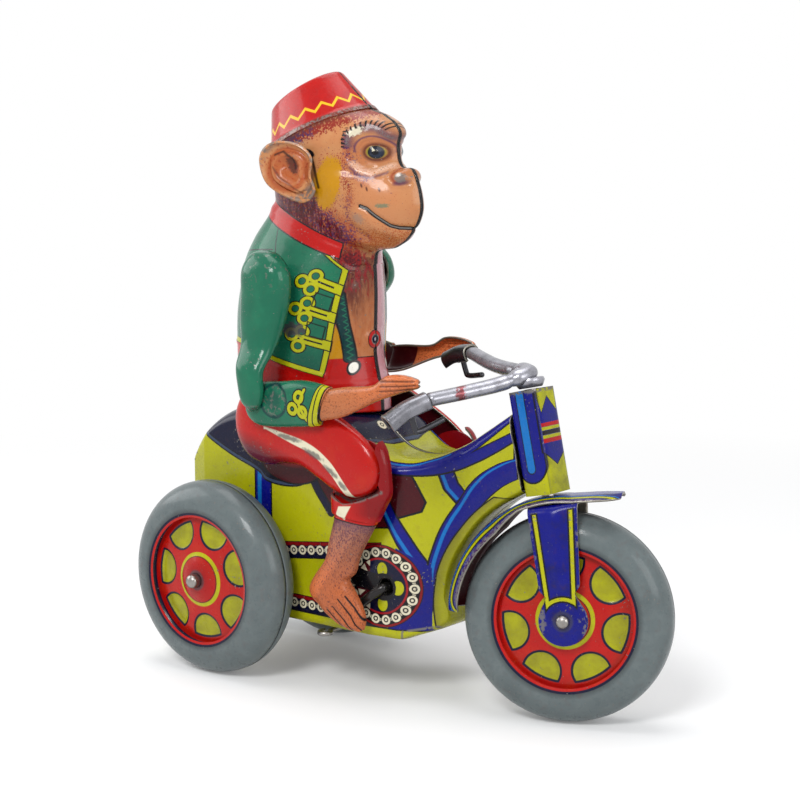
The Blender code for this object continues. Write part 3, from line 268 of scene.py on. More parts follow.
class Litho:
    """A printed finish, built up ink by ink on coordinates in millimetres.

    u, v and w are a point's coordinates along the across, up and out axes from an origin of the
    drawing frame, so a piece that is posed at an angle prints as it would lying straight.
    """

    def __init__(self, name: str, ground: Tint, origin: tuple = (0.0, 0.0, 0.0),
                 across: tuple = (1.0, 0.0, 0.0), up: tuple = (0.0, 0.0, 1.0)) -> None:
        """Start a print on a ground colour.

        Args:
            name: name of the material.
            ground: the first ink, all over.
            origin: point of the drawing frame where u, v and w are zero.
            across: direction of u.
            up: direction of v.
        """
        self.material = bpy.data.materials.new(name)
        self.material.use_nodes = True
        self.nodes = self.material.node_tree.nodes
        self.colour: Any = ground.linear
        self.bare: Any = None
        scaled = self.vector("SCALE", wire(self.nodes, "TexCoord", out="Object"), None, None, 1.0 / MM)
        self.place = self.vector("SUBTRACT", scaled, tuple(Frame.shift(Vector(origin))))
        first, second = Vector(across).normalized(), Vector(up).normalized()
        self.u, self.v, self.w = (self.field("DOT_PRODUCT", self.place, tuple(axis))
                                  for axis in (first, second, first.cross(second)))
        self.flat = wire(self.nodes, "CombineXYZ", (self.u, self.v, 1.0))

    def arithmetic(self, name: str, *inputs: Any, clamp: bool = False) -> Field:
        """One Math node."""
        return Field(self, wire(self.nodes, "Math", inputs, operation=name, use_clamp=clamp))

    def vector(self, name: str, *inputs: Any) -> Any:
        """One Vector Math node, and its vector or number output."""
        out = "Value" if name in ("DOT_PRODUCT", "LENGTH", "DISTANCE") else "Vector"
        return wire(self.nodes, "VectorMath", inputs, out, operation=name)

    def field(self, name: str, *inputs: Any) -> Field:
        """One Vector Math node that gives a number."""
        return Field(self, self.vector(name, *inputs))

    def half_plane(self, start: tuple, end: tuple) -> Field:
        """Distance to the right of the line from start to end."""
        du, dv = end[0] - start[0], end[1] - start[1]
        size = math.hypot(du, dv)
        nu, nv = dv / size, -du / size
        return self.field("DOT_PRODUCT", self.flat, (nu, nv, -(nu * start[0] + nv * start[1])))

    def polygon(self, *corners: tuple) -> Field:
        """Distance outside a convex shape whose corners run anticlockwise."""
        edges = [self.half_plane(a, b) for a, b in zip(corners, corners[1:] + corners[:1])]
        return reduce(Field.high, edges)

    def disc(self, u: float, v: float, radius: float) -> Field:
        """Distance outside a circle."""
        return self.field("DISTANCE", self.flat, (u, v, 1.0)) - radius

    def ellipse(self, u: float, v: float, wide: float, tall: float, turn_deg: float = 0.0) -> Field:
        """Distance, about true near the edge, outside an ellipse turned anticlockwise."""
        a = math.radians(turn_deg)
        away = self.vector("SUBTRACT", self.flat, (u, v, 1.0))
        first = self.vector("DOT_PRODUCT", away, (math.cos(a) / wide, math.sin(a) / wide, 0.0))
        second = self.vector("DOT_PRODUCT", away, (-math.sin(a) / tall, math.cos(a) / tall, 0.0))
        reach = self.field("LENGTH", wire(self.nodes, "CombineXYZ", (first, second, 0.0)))
        return (reach - 1.0) * min(wide, tall)

    def stroke(self, *points: tuple) -> Field:
        """Distance from a line through points."""
        parts = []
        for (au, av), (bu, bv) in zip(points, points[1:]):
            du, dv = bu - au, bv - av
            size = du * du + dv * dv
            away = self.vector("SUBTRACT", self.flat, (au, av, 1.0))
            share = self.vector("DOT_PRODUCT", away, (du / size, dv / size, 0.0))
            share = self.arithmetic("ADD", share, 0.0, clamp=True)
            parts.append(self.field("LENGTH", self.vector("MULTIPLY_ADD", share, (-du, -dv, 0.0), away)))
        return reduce(Field.low, parts)

    def curve(self, along: Field, points: list, low: float, high: float) -> Field:
        """A smooth curve through points of (along, value), level past its ends."""
        start, end = points[0][0], points[-1][0]
        node = self.nodes.new("ShaderNodeFloatCurve")
        curve = node.mapping.curves[0]
        spots = [((at - start) / (end - start), (value - low) / (high - low)) for at, value in points]
        curve.points[0].location, curve.points[1].location = spots[0], spots[-1]
        for spot in spots[1:-1]:
            curve.points.new(*spot)
        node.mapping.use_clip = False
        node.mapping.update()
        feed(node, {"Value": along.rise(start, end)})
        return Field(self, node.outputs[0]) * (high - low) + low

    def height(self, *points: tuple) -> Field:
        """A smooth curve v of u through points."""
        values = [v for _, v in points]
        return self.curve(self.u, points, min(values), max(values) + 1e-6)

    def noise(self, scale: float, detail: float = 3.0, stretch: tuple = (1.0, 1.0, 1.0)) -> Field:
        """Smooth noise round 0.5. scale is in waves to a millimetre and stretch favours a direction."""
        inputs = {"Vector": self.vector("MULTIPLY", self.place, stretch), "Scale": scale, "Detail": detail}
        return Field(self, wire(self.nodes, "TexNoise", inputs, "Fac"))

    def ink(self, mask: Any, tint: Tint) -> "Litho":
        """Print a tint where the mask is 1."""
        self.colour = wire(self.nodes, "Mix", {0: mask, 6: self.colour, 7: tint.linear}, 2, data_type="RGBA")
        return self

    def lay(self, shape: Field, tint: Tint, soft: float = 0.05, share: float = 1.0) -> "Litho":
        """Print a tint inside a shape, with a soft edge, covering that share of what lies below."""
        mask = shape.inside(soft)
        return self.ink(mask if share == 1 else mask * share, tint)

    def steps(self, shape: Field, *bands: tuple) -> None:
        """Print bands of (reach, tint) one on another, each inside that distance."""
        for reach, tint in bands:
            self.lay(shape - reach, tint)

    def mottle(self, tint: Tint, scale: float, detail: float, start: float, end: float,
               share: float) -> Field:
        """Print a tint in patches where a noise rises from start to end, and give the noise."""
        patches = self.noise(scale, detail)
        self.ink(patches.rise(start, end) * share, tint)
        return patches

    def stipple(self, density: Field, tint: Tint, dots: Field) -> "Litho":
        """Print dots of a tint, thicker where the density nears 1."""
        return self.ink((dots + density * 0.34).rise(0.72, 0.84) * 0.9, tint)

    def fill(self, shape: Field, tint: Tint, outline: float = 0.0) -> "Litho":
        """Print a shape, with a black outline of that width round it."""
        if outline:
            self.lay(shape - outline, BLACK)
        return self.lay(shape, tint)

    def wear(self, mask: Any) -> "Litho":
        """Show bare metal where the mask is 1."""
        mask = mask if isinstance(mask, Field) else Field(self, mask)
        self.bare = mask if self.bare is None else self.bare.high(mask)
        return self

    def seal(self, finish: Finish) -> Coating:
        """Wear, dirty and varnish the print.

        Args:
            finish: how it shines and how it is worn.

        Returns:
            The finished material.
        """
        blotch = self.noise(0.16, 4.0)
        speck = self.noise(2.3, 5.0)
        mottle = self.noise(0.9, 4.0)
        if finish.chips:
            lost = (speck + blotch * 0.35).rise(0.915 - 0.08 * finish.chips, 0.93 - 0.08 * finish.chips)
            self.wear(lost)
        if finish.grime:
            self.ink(mottle.rise(0.56, 0.74) * (0.5 * finish.grime), BROWN)
            self.ink(blotch.rise(0.5, 0.8) * (0.6 * finish.grime), BLACK)
        rough = mottle.rise(0.3, 0.8) * 0.16 + (finish.roughness - 0.06)
        height = blotch * finish.dents + speck * finish.grain
        metallic = finish.metallic
        if self.bare is not None:
            self.ink(self.bare, finish.bare)
            metallic = self.bare.high(metallic) if metallic else self.bare * 0.75
            rough = rough + self.bare * 0.14
            height = height - self.bare * 0.02
        bump = wire(self.nodes, "Bump", {"Strength": 1.0, "Distance": MM, "Height": height})
        feed(self.nodes["Principled BSDF"],
             {"Base Color": self.colour, "Metallic": metallic, "Roughness": rough, "Normal": bump,
              "Coat Weight": finish.coat * 0.35, "Coat Roughness": 0.08,
              "Specular IOR Level": 0.5 if finish.metallic else 0.15})
        return self.material


class Frame:
    """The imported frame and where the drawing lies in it."""

    parts: dict = {}
    origin_x: float = 0.0
    bodies: dict[str, str] = {}

    @classmethod
    def open(cls) -> None:
        """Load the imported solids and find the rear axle, which is x = 0 of the drawing."""
        cls.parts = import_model()
        low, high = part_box("rear_axle")
        cls.origin_x = -(low.x + high.x) / 2 / MM
        for body, entry in cls.parts["record"]["behaviour"]["bodies"].items():
            nodes = entry["nodes"] if isinstance(entry, dict) else entry
            cls.bodies.update({node: body for node in nodes})

    @classmethod
    def shift(cls, point: Vector) -> Vector:
        """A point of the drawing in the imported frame, both in millimetres."""
        return Vector((point.x - cls.origin_x, point.y, point.z))

    @classmethod
    def dress(cls, piece: Piece, *nodes: str) -> Piece:
        """Put a piece in place of its solids.

        Args:
            piece: the finished piece.
            nodes: the CAD nodes that it stands for, all on one body.

        Returns:
            The piece.
        """
        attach(piece, cls.bodies[nodes[0]])
        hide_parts(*nodes)
        LOG.info("%s stands for %s", piece.name, ", ".join(nodes))
        return piece

    @classmethod
    def coat(cls, node: str, material: Coating) -> None:
        """Give a solid that stays in view its finish."""
        piece = cls.parts["nodes"][node]
        for slot in piece.material_slots:
            slot.material = material
        if not piece.material_slots:
            piece.data.materials.append(material)
        LOG.info("%s keeps its solid", node)


def spline(rows: Array, count: int, closed: bool = False) -> Array:
    """Points on a Catmull-Rom curve through rows, evenly spread over the rows' numbers."""
    rows = np.asarray(rows, float)
    if closed:
        padded = np.vstack([rows[-1:], rows, rows[:2]])
        spans = len(rows)
    else:
        padded = np.vstack([2 * rows[:1] - rows[1:2], rows, 2 * rows[-1:] - rows[-2:-1]])
        spans = len(rows) - 1
    at = np.linspace(0.0, spans, count, endpoint=not closed)
    first = np.minimum(at.astype(int), spans - 1)
    t = (at - first)[:, None]
    a, b, c, d = (padded[first + k] for k in range(4))
    cubic = (3 * b - a - 3 * c + d) * t ** 3
    return 0.5 * (2 * b + (c - a) * t + (2 * a - 5 * b + 4 * c - d) * t ** 2 + cubic)


def turn_y(points: Array, pivot: tuple, degrees: float) -> Array:
    """Points turned about the sideways axis at pivot; a positive turn lowers what points forward."""
    a = math.radians(degrees)
    x, z = points[..., 0] - pivot[0], points[..., 2] - pivot[1]
    out = points.copy()
    out[..., 0] = pivot[0] + x * math.cos(a) + z * math.sin(a)
    out[..., 2] = pivot[1] - x * math.sin(a) + z * math.cos(a)
    return out


def bump(points: Array, x: float, z: float, wide: float, tall: float, turn_deg: float = 0.0) -> Array:
    """A smooth mound, 1 at its middle in the side view and falling as a bell curve."""
    a = math.radians(turn_deg)
    du, dv = points[..., 0] - x, points[..., 2] - z
    s = (du * math.cos(a) + dv * math.sin(a)) / wide
    t = (-du * math.sin(a) + dv * math.cos(a)) / tall
    return np.exp(-(s * s + t * t))


def ridge(points: Array, route: tuple, width: float) -> Array:
    """A smooth ridge along a line of (x, z) points, 1 on the line and falling as a bell curve."""
    flat = points[..., (0, 2)]
    near = np.full(flat.shape[:-1], 1e9)
    for a, b in zip(np.array(route[:-1], float), np.array(route[1:], float)):
        along = np.clip(((flat - a) @ (b - a)) / ((b - a) @ (b - a)), 0.0, 1.0)
        near = np.minimum(near, np.linalg.norm(flat - a - along[..., None] * (b - a), axis=-1))
    return np.exp(-(near / width) ** 2)


def unit(vectors: Array) -> Array:
    """Vectors brought to length 1."""
    return vectors / np.linalg.norm(vectors, axis=-1, keepdims=True)


def lengths(route: Array) -> Array:
    """How far along a route each point lies."""
    return np.concatenate([[0.0], np.cumsum(np.linalg.norm(np.diff(route, axis=0), axis=1))])


def spin(points: Array, degrees: float, first: int, second: int) -> Array:
    """Points turned about an axis of the frame, from one coordinate towards another."""
    a = math.radians(degrees)
    out = points.copy()
    out[..., first] = points[..., first] * math.cos(a) - points[..., second] * math.sin(a)
    out[..., second] = points[..., first] * math.sin(a) + points[..., second] * math.cos(a)
    return out


def signed_power(values: Array, power: Any) -> Array:
    """Values raised to a power with their signs kept."""
    return np.sign(values) * np.abs(values) ** power


def normals(grid: Array) -> Array:
    """Unit normals of a grid of points, by differences along its two directions."""
    down, across = np.gradient(grid, axis=0), np.gradient(grid, axis=1)
    out = np.cross(down, across)
    return out / np.maximum(np.linalg.norm(out, axis=-1, keepdims=True), 1e-9)


def skin(name: str, grid: Array, material: Coating, inside: tuple | None = None,
         wrap_rows: bool = False, wrap_columns: bool = False, keep: Array | None = None,
         sharp_deg: float = 40.0) -> Piece:
    """A piece skinned over a grid of points.

    Args:
        name: name of the piece.
        grid: rows by columns of points in the drawing frame.
        material: its finish.
        inside: a point that the faces turn away from; none for a closed skin.
        wrap_rows: the last row joins the first.
        wrap_columns: the last column joins the first.
        keep: mask of the faces to keep.
        sharp_deg: edges sharper than this stay crisp.

    Returns:
        The piece, with its place in its mesh.
    """
    rows, columns = grid.shape[:2]
    index = np.arange(rows * columns).reshape(rows, columns)
    if wrap_rows:
        index = np.vstack([index, index[:1]])
    if wrap_columns:
        index = np.hstack([index, index[:, :1]])
    quads = np.stack([index[:-1, :-1], index[:-1, 1:], index[1:, 1:], index[1:, :-1]], axis=-1)
    quads = quads[keep] if keep is not None else quads.reshape(-1, 4)
    points = grid.reshape(-1, 3)
    corners = points[quads]
    if inside is not None:
        facing = np.cross(corners[:, 2] - corners[:, 0], corners[:, 3] - corners[:, 1])
        if ((corners.mean(1) - np.array(inside)) * facing).sum() < 0:
            quads = quads[:, ::-1]
    mesh = bpy.data.meshes.new(name)
    placed = (points - np.array([Frame.origin_x, 0.0, 0.0])) * MM
    mesh.from_pydata(placed.tolist(), [], quads.tolist())
    work = bmesh.new()
    work.from_mesh(mesh)
    bmesh.ops.remove_doubles(work, verts=work.verts, dist=WELD_M)
    bmesh.ops.dissolve_degenerate(work, edges=work.edges, dist=SLIVER_M)
    bmesh.ops.delete(work, geom=[v for v in work.verts if not v.link_faces], context="VERTS")
    if inside is None:
        bmesh.ops.recalc_face_normals(work, faces=work.faces)
    work.to_mesh(mesh)
    work.free()
    mesh.shade_smooth()
    mesh.set_sharp_from_angle(angle=math.radians(sharp_deg))
    piece = bpy.data.objects.new(name, mesh)
    bpy.context.scene.collection.objects.link(piece)
    mesh.materials.append(material)
    return piece


def thicken(piece: Piece, rim: Coating, back: Coating,
            thickness: float = TIN) -> Piece:
    """Give a skin the thickness of tinplate, with a bare cut edge and its own inside finish."""
    piece.data.materials.append(rim)
    piece.data.materials.append(back)
    wall = piece.modifiers.new("tinplate", "SOLIDIFY")
    wall.thickness = thickness * MM
    wall.offset = -1.0
    wall.use_quality_normals = True
    wall.material_offset_rim = 1
    wall.material_offset = 2
    return piece


def settle(piece: Piece) -> Piece:
    """Make a piece's modifiers part of its mesh."""
    shape = piece.evaluated_get(bpy.context.evaluated_depsgraph_get())
    made = bpy.data.meshes.new_from_object(shape)
    piece.modifiers.clear()
    piece.data = made
    return piece


def carve(piece: Piece, cutter: Piece, how: str = "DIFFERENCE") -> Piece:
    """Cut a piece with another, which is then thrown away."""
    step = piece.modifiers.new("cut", "BOOLEAN")
    step.operation = how
    step.solver = "EXACT"
    step.object = cutter
    settle(piece)
    bpy.data.objects.remove(cutter, do_unlink=True)
    return piece


def close_ends(piece: Piece) -> Piece:
    """Fill the holes of a piece, so that it is a solid."""
    work = bmesh.new()
    work.from_mesh(piece.data)
    bmesh.ops.holes_fill(work, edges=work.edges, sides=0)
    bmesh.ops.recalc_face_normals(work, faces=work.faces)
    work.to_mesh(piece.data)
    work.free()
    return piece


def tube(name: str, route: Array, radii: Any, material: Coating, sides: int = 20,
         squash: float = 1.0) -> Piece:
    """A round bar along a route with rounded ends.

    Args:
        name: name of the piece.
        route: points along the middle line.
        radii: one radius, or one for each point.
        material: its finish.
        sides: points round it.
        squash: height of the section as a share of its width.

    Returns:
        The piece.
    """
    radii = np.broadcast_to(np.asarray(radii, float), (len(route),))
    ahead = unit(np.gradient(route, axis=0))
    rise = np.array([0.0, 0.0, 1.0]) if abs(ahead[:, 2]).mean() < 0.8 else np.array([1.0, 0.0, 0.0])
    side = unit(np.cross(ahead, rise))
    over = np.cross(side, ahead)
    cap = np.radians([90.0, 60.0, 30.0])

    def end(i: int, way: float) -> list:
        """Sections of a rounded end."""
        return [(route[i] + way * ahead[i] * radii[i] * 0.6 * math.sin(a), radii[i] * math.cos(a), i)
                for a in cap]

    middle = [(route[i], radii[i], i) for i in range(len(route))]
    stations = end(0, -1.0) + middle + end(-1, 1.0)[::-1]
    angle = np.linspace(0.0, 2 * np.pi, sides, endpoint=False)
    round_ = np.stack([np.cos(angle), np.sin(angle) * squash], axis=1)
    grid = np.stack([p + r * (round_[:, :1] * side[i] + round_[:, 1:] * over[i]) for p, r, i in stations])
    return skin(name, grid, material, wrap_columns=True)


def plain(name: str, tint: Tint, finish: Finish) -> Coating:
    """A material of one ink or metal, worn as its finish says."""
    return Litho(name, tint).seal(finish)


class Bench:
    """Finishes that several sub-assemblies share."""

    def __init__(self) -> None:
        """Mix the shared finishes."""
        metal = Finish(roughness=0.32, metallic=1.0, coat=0.0, chips=0.0, grime=0.45, dents=0.02)
        self.steel = plain("wire_steel", STEEL, metal)
        self.edge = plain("cut_edge", TIN_EDGE, Finish(0.42, 0.8, 0.0, 0.01, 0.01, 0.0, 0.6))
        self.dark_edge = plain("dark_cut_edge", BLACK, Finish(0.45, 0.3, 0.1, 0.01, 0.01, 0.2, 0.2))
        self.tyre_seam = plain("tyre_seam", Tint(58, 64, 66), Finish(0.4, 0.0, 0.2, 0.01, 0.01, 0.1, 0.3))
        self.brass = plain("gear_brass", BRASS, Finish(0.34, 1.0, 0.0, 0.01, 0.004, 0.0, 0.5))
        self.spring = plain("spring_steel", GUNMETAL, Finish(0.3, 1.0, 0.0, 0.01, 0.004, 0.0, 0.4))
        self.inside = plain("tin_inside", TIN_EDGE, Finish(0.4, 0.85, 0.1, 0.03, 0.01, 0.0, 0.8))
        self.inside_maroon = plain("maroon_inside", MAROON, Finish(0.34, 0.0, 0.3, 0.05, 0.008, 0.25, 0.5))
        self.black_wire = plain("black_wire", Tint(40, 38, 38), Finish(0.22, 0.7, 0.2, 0.02, 0.004, 0.2, 0.1))
        self.gunmetal = plain("gunmetal", GUNMETAL, Finish(0.32, 0.85, 0.1, 0.03, 0.01, 0.5, 0.4))


@dataclass
class WheelSet:
    """The three wheels, each two stamped halves with a printed disc, and their axles."""

    bench: Bench
    radius: float = WHEEL_RADIUS
    tyre: float = 4.6
    disc: float = 12.3
    face: float = 3.1
    dome: float = 4.8
    hub: float = 4.7
    bore: float = 1.3
    track: float = 17.0
    axle_half: float = 23.6
    windows: int = 7
    window_at: float = 9.8
    window_radius: float = 3.1
    window_outer: float = 10.6
    emboss: float = 0.28

    def print_half(self, name: str, centre: tuple, phase_deg: float, across: tuple, up: tuple,
                   plain_back: bool) -> Coating:
        """The print of a wheel half.

        Args:
            name: name of the material.
            centre: middle of the wheel.
            phase_deg: angle of the middle of a window.
            across: level direction in the wheel's plane.
            up: upright direction in it.
            plain_back: True for an inner half, whose disc has no print.

        Returns:
            The finished material.
        """
        tin = Litho(name, GREY, centre, across, up)
        u, v = tin.u, tin.v
        far = tin.arithmetic("SQRT", u * u + v * v)
        tin.mottle(PALE_GREY, 0.5, 4, 0.45, 0.75, 0.35)
        tin.lay(far - (self.disc + 0.7), BLACK, 0.5, 0.55)
        disc = (far - (self.disc + 0.25)).inside()
        if plain_back:
            tin.ink(disc, DEEP_RED)
            return tin.seal(Finish(roughness=0.34, chips=0.3, grime=0.5))
        tin.ink(disc, NAVY)
        tone = tin.noise(0.35, 3)
        tin.lay(far - (self.disc - 0.2), RED)
        red = (far - (self.disc - 0.25)).inside()
        tin.ink(tone.rise(0.45, 0.7) * red * 0.5, ORANGE_RED)
        angle = tin.arithmetic("ARCTAN2", v, u)
        swing = abs(angle.repeat(2 * math.pi / self.windows, math.radians(phase_deg)))
        beside = far * tin.arithmetic("SINE", swing)
        ahead = far * tin.arithmetic("COSINE", swing)
        away = ahead - self.window_at
        window = tin.arithmetic("SQRT", away * away + beside * beside) - self.window_radius
        window = window.high(far - self.window_outer)
        tin.lay(window - 0.42, NAVY)
        tin.lay(window, OLIVE)
        tin.ink(window.inside() * (tin.noise(0.4, 2)).rise(0.2, 0.7) * 0.75, YELLOW)
        tin.lay(abs(far - 4.75) - 0.34, YELLOW)
        tin.lay(abs(far - 4.3) - 0.09, BLACK, share=0.8)
        tin.lay(far - 3.4, DEEP_RED, 1.2, 0.45)
        tin.lay(far - 1.9, GUNMETAL, 0.15, 0.75)
        return tin.seal(Finish(roughness=0.3, coat=0.45, chips=0.45, grime=0.3))

    def half(self, name: str, centre: tuple, out: float, material: Coating,
             phase_deg: float, steer_deg: float = 0.0, rake_deg: float = 0.0, printed: bool = True) -> Piece:
        """One stamped half: the tyre's round side, the step to the disc, windows and a domed hub.

        The surface is a profile of radius and width turned about the axle, with the windows pressed
        in by a smooth step of the distance from their edges.
        """
        bow = np.radians(np.linspace(0.0, 112.0, 26))
        middle = self.radius - self.tyre
        tyre_r = middle + self.tyre * np.cos(bow)
        tyre_w = SEAM + self.tyre * np.sin(bow) ** 0.92
        disc_r = np.array([self.disc + 0.45, self.disc + 0.1,
                           *np.linspace(self.disc - 0.3, self.dome + 0.6, 24)])
        cone = self.face - 0.1 + 0.65 * np.linspace(0.0, 1.0, 24)
        disc_w = np.array([self.face + 0.55, self.face + 0.15, *cone])
        share = np.linspace(0.0, 1.0, 16)
        dome_r = self.dome + 0.3 - (self.dome + 0.3 - self.bore) * share
        dome_w = cone[-1] + (self.hub - cone[-1]) * np.sin(share * np.pi / 2) ** 1.15
        r = np.concatenate([tyre_r, disc_r, dome_r])
        w = np.concatenate([tyre_w, disc_w, dome_w])
        angle = np.linspace(0.0, 2 * np.pi, 168, endpoint=False)
        rr, aa = np.meshgrid(r, angle, indexing="ij")
        ww = np.repeat(w[:, None], len(angle), axis=1)
        if printed:
            step = 2 * np.pi / self.windows
            swing = np.abs((aa - math.radians(phase_deg) + step / 2) % step - step / 2)
            beside, ahead = rr * np.sin(swing), rr * np.cos(swing)
            window = np.maximum(rr - self.window_outer,
                                np.hypot(ahead - self.window_at, beside) - self.window_radius)
            ww = ww - self.emboss / (1 + np.exp(np.clip(window / 0.12, -30, 30)))
        flat = np.stack([rr * np.cos(aa), out * ww, rr * np.sin(aa)], axis=-1)
        turned = Steering.turn(flat, steer_deg, rake_deg)
        grid = turned + np.array(centre)
        piece = skin(name, grid, material, inside=tuple(np.array(centre)), wrap_columns=True, sharp_deg=50.0)
        return thicken(piece, self.bench.tyre_seam, self.bench.inside, 0.35)

    def axle(self, name: str, middle: Vector, direction: Vector, half: float, radius: float) -> None:
        """A wire axle with peened, slightly spread ends."""
        half -= 0.65 * radius
        share = np.concatenate([[-1.0], np.linspace(-0.985, -0.94, 4), [-0.9], np.linspace(-0.8, 0.8, 9),
                                [0.9], np.linspace(0.94, 0.985, 4), [1.0]])
        spread = np.where(np.abs(share) > 0.93, 1.3, 1.0)
        route = np.array(middle)[None, :] + share[:, None] * half * np.array(direction)[None, :]
        Frame.dress(tube(f"{name}_wire", route, radius * spread * 0.98, self.bench.steel, 28), name)

    def build(self) -> None:
        """Make all wheels and axles."""
        for side in Side:
            centre = (0.0, side.value * self.track, self.radius)
            phase = 20.0 if side is Side.RIGHT else 40.0
            outer = self.print_half(f"rear_disc_{side.word}", centre, phase, (1, 0, 0), (0, 0, 1), False)
            inner = self.print_half(f"rear_back_{side.word}", centre, phase, (1, 0, 0), (0, 0, 1), True)
            name = f"rear_wheel_{side.word}"
            Frame.dress(self.half(f"{name}_outer_tin", centre, side.value, outer, phase), f"{name}_outer")
            Frame.dress(self.half(f"{name}_inner_tin", centre, -side.value, inner, phase, printed=False),
                        f"{name}_inner")
        self.axle("rear_axle", Vector((0, 0, self.radius)), Vector((0, 1, 0)), self.axle_half, 1.0)
        centre = (WHEELBASE, 0.0, WHEEL_RADIUS)
        across, up = Steering.axes(STEER_DEG)
        for side in Side:
            phase = 30.0 if side is Side.RIGHT else 46.0
            face = self.print_half(f"front_disc_{side.word}", centre, phase, across, up, False)
            Frame.dress(self.half(f"front_wheel_{side.word}_tin", centre, side.value, face, phase, STEER_DEG,
                                  RAKE_DEG), f"front_wheel_{side.word}_half")
        sideways = Vector(Steering.turn(np.array([0, 1.0, 0]), STEER_DEG, RAKE_DEG))
        self.axle("front_axle", Vector(centre), sideways, 7.0, 0.9)


@dataclass
class Steering:
    """Fork, fender, head tube, stem, handlebar, grips and brake levers."""

    bench: Bench
    half: float = 5.7
    crown: float = 19.6
    crown_half: float = 4.3
    waist_half: float = 3.4
    lean: float = 1.3
    hub: float = 4.2
    rib: float = 0.5
    bend: float = 1.4
    gauge: float = 0.5
    fender_radius: float = 20.5
    fender_half: float = 5.3
    fender_rear_deg: float = 169.0
    fender_front_deg: float = 79.0
    fender_tip: tuple = (12.7, 19.2)
    tube_low: float = 21.3
    tube_top: float = 39.2
    tube_length: float = 5.8
    tube_width: float = 6.6

    @staticmethod
    def turn(points: Array, steer_deg: float, rake_deg: float) -> Array:
        """Directions or points of the fork's own frame, steered and raked into the drawing frame."""
        return spin(spin(points, steer_deg, 0, 1), -rake_deg, 2, 0)

    @classmethod
    def place(cls, points: Array, steer_deg: float = STEER_DEG) -> Array:
        """Points of the fork's frame, whose origin is the front axle, in the drawing frame."""
        return cls.turn(points, steer_deg, RAKE_DEG) + np.array([WHEELBASE, 0.0, WHEEL_RADIUS])

    @classmethod
    def roll(cls, points: Array) -> Array:
        """Points of the handlebar's own turned and rolled frame, in the drawing frame."""
        return cls.place(spin(spin(points, BAR_ROLL_DEG, 1, 2), BAR_TURN_DEG, 0, 1) + (0.0, 0.0, BAR_HEIGHT))

    @classmethod
    def axes(cls, steer_deg: float) -> tuple[tuple, tuple]:
        """Directions of u, forward, and v, up the head, for a print that turns with the fork."""
        across, up = (tuple(map(float, cls.turn(np.array(axis), steer_deg, RAKE_DEG)))
                      for axis in ((1.0, 0.0, 0.0), (0.0, 0.0, 1.0)))
        return across, up

    @staticmethod
    def start(name: str, ground: Tint, steer_deg: float = STEER_DEG) -> Litho:
        """A print on the fork's own axes: u ahead, v up the head and w to the right, from the front axle."""
        return Litho(name, ground, (WHEELBASE, 0.0, WHEEL_RADIUS), *Steering.axes(steer_deg))

    def fork_print(self) -> Coating:
        """Blue, with two yellow stripes in black outline that join in an arch over the hub."""
        tin = self.start("fork_print", BLUE)
        v = tin.v
        tin.mottle(NAVY, 0.45, 3, 0.45, 0.75, 0.5)
        far = tin.disc(0, 0, 0)
        side_wide = (v - 4.0) * ((self.crown_half - self.waist_half) / (self.crown - 4.0)) + self.waist_half
        off = abs(tin.u - (v - 1.5) * (self.lean / (self.crown - 1.5)))
        edge = off - (side_wide - 1.1)
        bow = (abs(far - 3.75) - 0.3).high(edge - 0.3).high(2 - v)
        stripe = (abs(edge) - 0.3).high(3.6 - far).high(v - 18.4).high(2 - v).low(bow)
        tin.fill(stripe, YELLOW, 0.3)
        tin.lay(far - 1.75, GUNMETAL, 0.2, 0.6)
        worn = tin.noise(1.3, 5)
        rim = (off - (side_wide - 0.3)).rise(-0.25, 0.15)
        tin.wear(rim * worn.rise(0.54, 0.6) * 0.8)
        tin.wear((abs(edge) - 0.35).inside(0.1) * worn.rise(0.6, 0.64) * (9 - v).inside(2) * 0.7)
        return tin.seal(Finish(roughness=0.28, coat=0.4, chips=0.5, grime=0.3))

    def fork(self) -> None:
        """A strip bent over the wheel: straight blades with a raised rib, round hub ends, curved crown.

        Rows run along the strip, from the end of one blade over the crown to the end of the other;
        columns run across it.
        """
        down = np.concatenate([self.hub * -np.cos(np.linspace(0.0, np.pi * 0.62, 22)),
                               np.linspace(3.2, 6.0, 8), np.linspace(6.4, self.crown - self.bend, 30)])
        arc = np.linspace(0.0, np.pi / 2, 9)[1:]
        blade = np.column_stack([np.full(len(down), -self.half), down])
        corner = np.column_stack([-self.half + self.bend * (1 - np.cos(arc)),
                                  self.crown - self.bend + self.bend * np.sin(arc)])
        half = np.vstack([blade, corner])
        path = np.vstack([half, half[::-1] * np.array([-1.0, 1.0])])
        h = path[:, 1]
        share = np.maximum(0.0, h - 4.0) / (self.crown - 4.0)
        wide = self.waist_half + (self.crown_half - self.waist_half) * share
        hub = np.sqrt(np.maximum(0.0, self.hub ** 2 - h * h))
        ease = np.clip((h - 1.5) / 4.0, 0.0, 1.0)
        wide = np.where(h < 1.5, hub, np.maximum(hub, wide * ease + hub * (1 - ease)))
        t = np.linspace(-1.0, 1.0, 25)
        rib = self.rib * np.exp(-(t / 0.3) ** 2)[None, :] * np.clip((h - 5.2) / 1.6, 0, 1)[:, None]
        rib *= np.clip((self.crown - 0.4 - h) / 2.0, 0, 1)[:, None]
        boss = 0.25 * np.clip((2.9 - np.hypot(h[:, None], t[None, :] * wide[:, None])) / 0.6, 0, 1)
        out = np.sign(path[:, :1])
        lean = self.lean * np.clip((h - 1.5) / (self.crown - 1.5), 0.0, 1.0)
        grid = np.stack([t[None, :] * wide[:, None] + lean[:, None], path[:, :1] + out * (rib + boss),
                         np.repeat(h[:, None], len(t), axis=1)], axis=-1)
        piece = skin("fork_tin", self.place(grid), self.fork_print(),
                     inside=tuple(self.place(np.array([0.0, 0.0, 8.0]))))
        Frame.dress(thicken(piece, self.bench.edge, self.bench.inside, self.gauge), "fork")

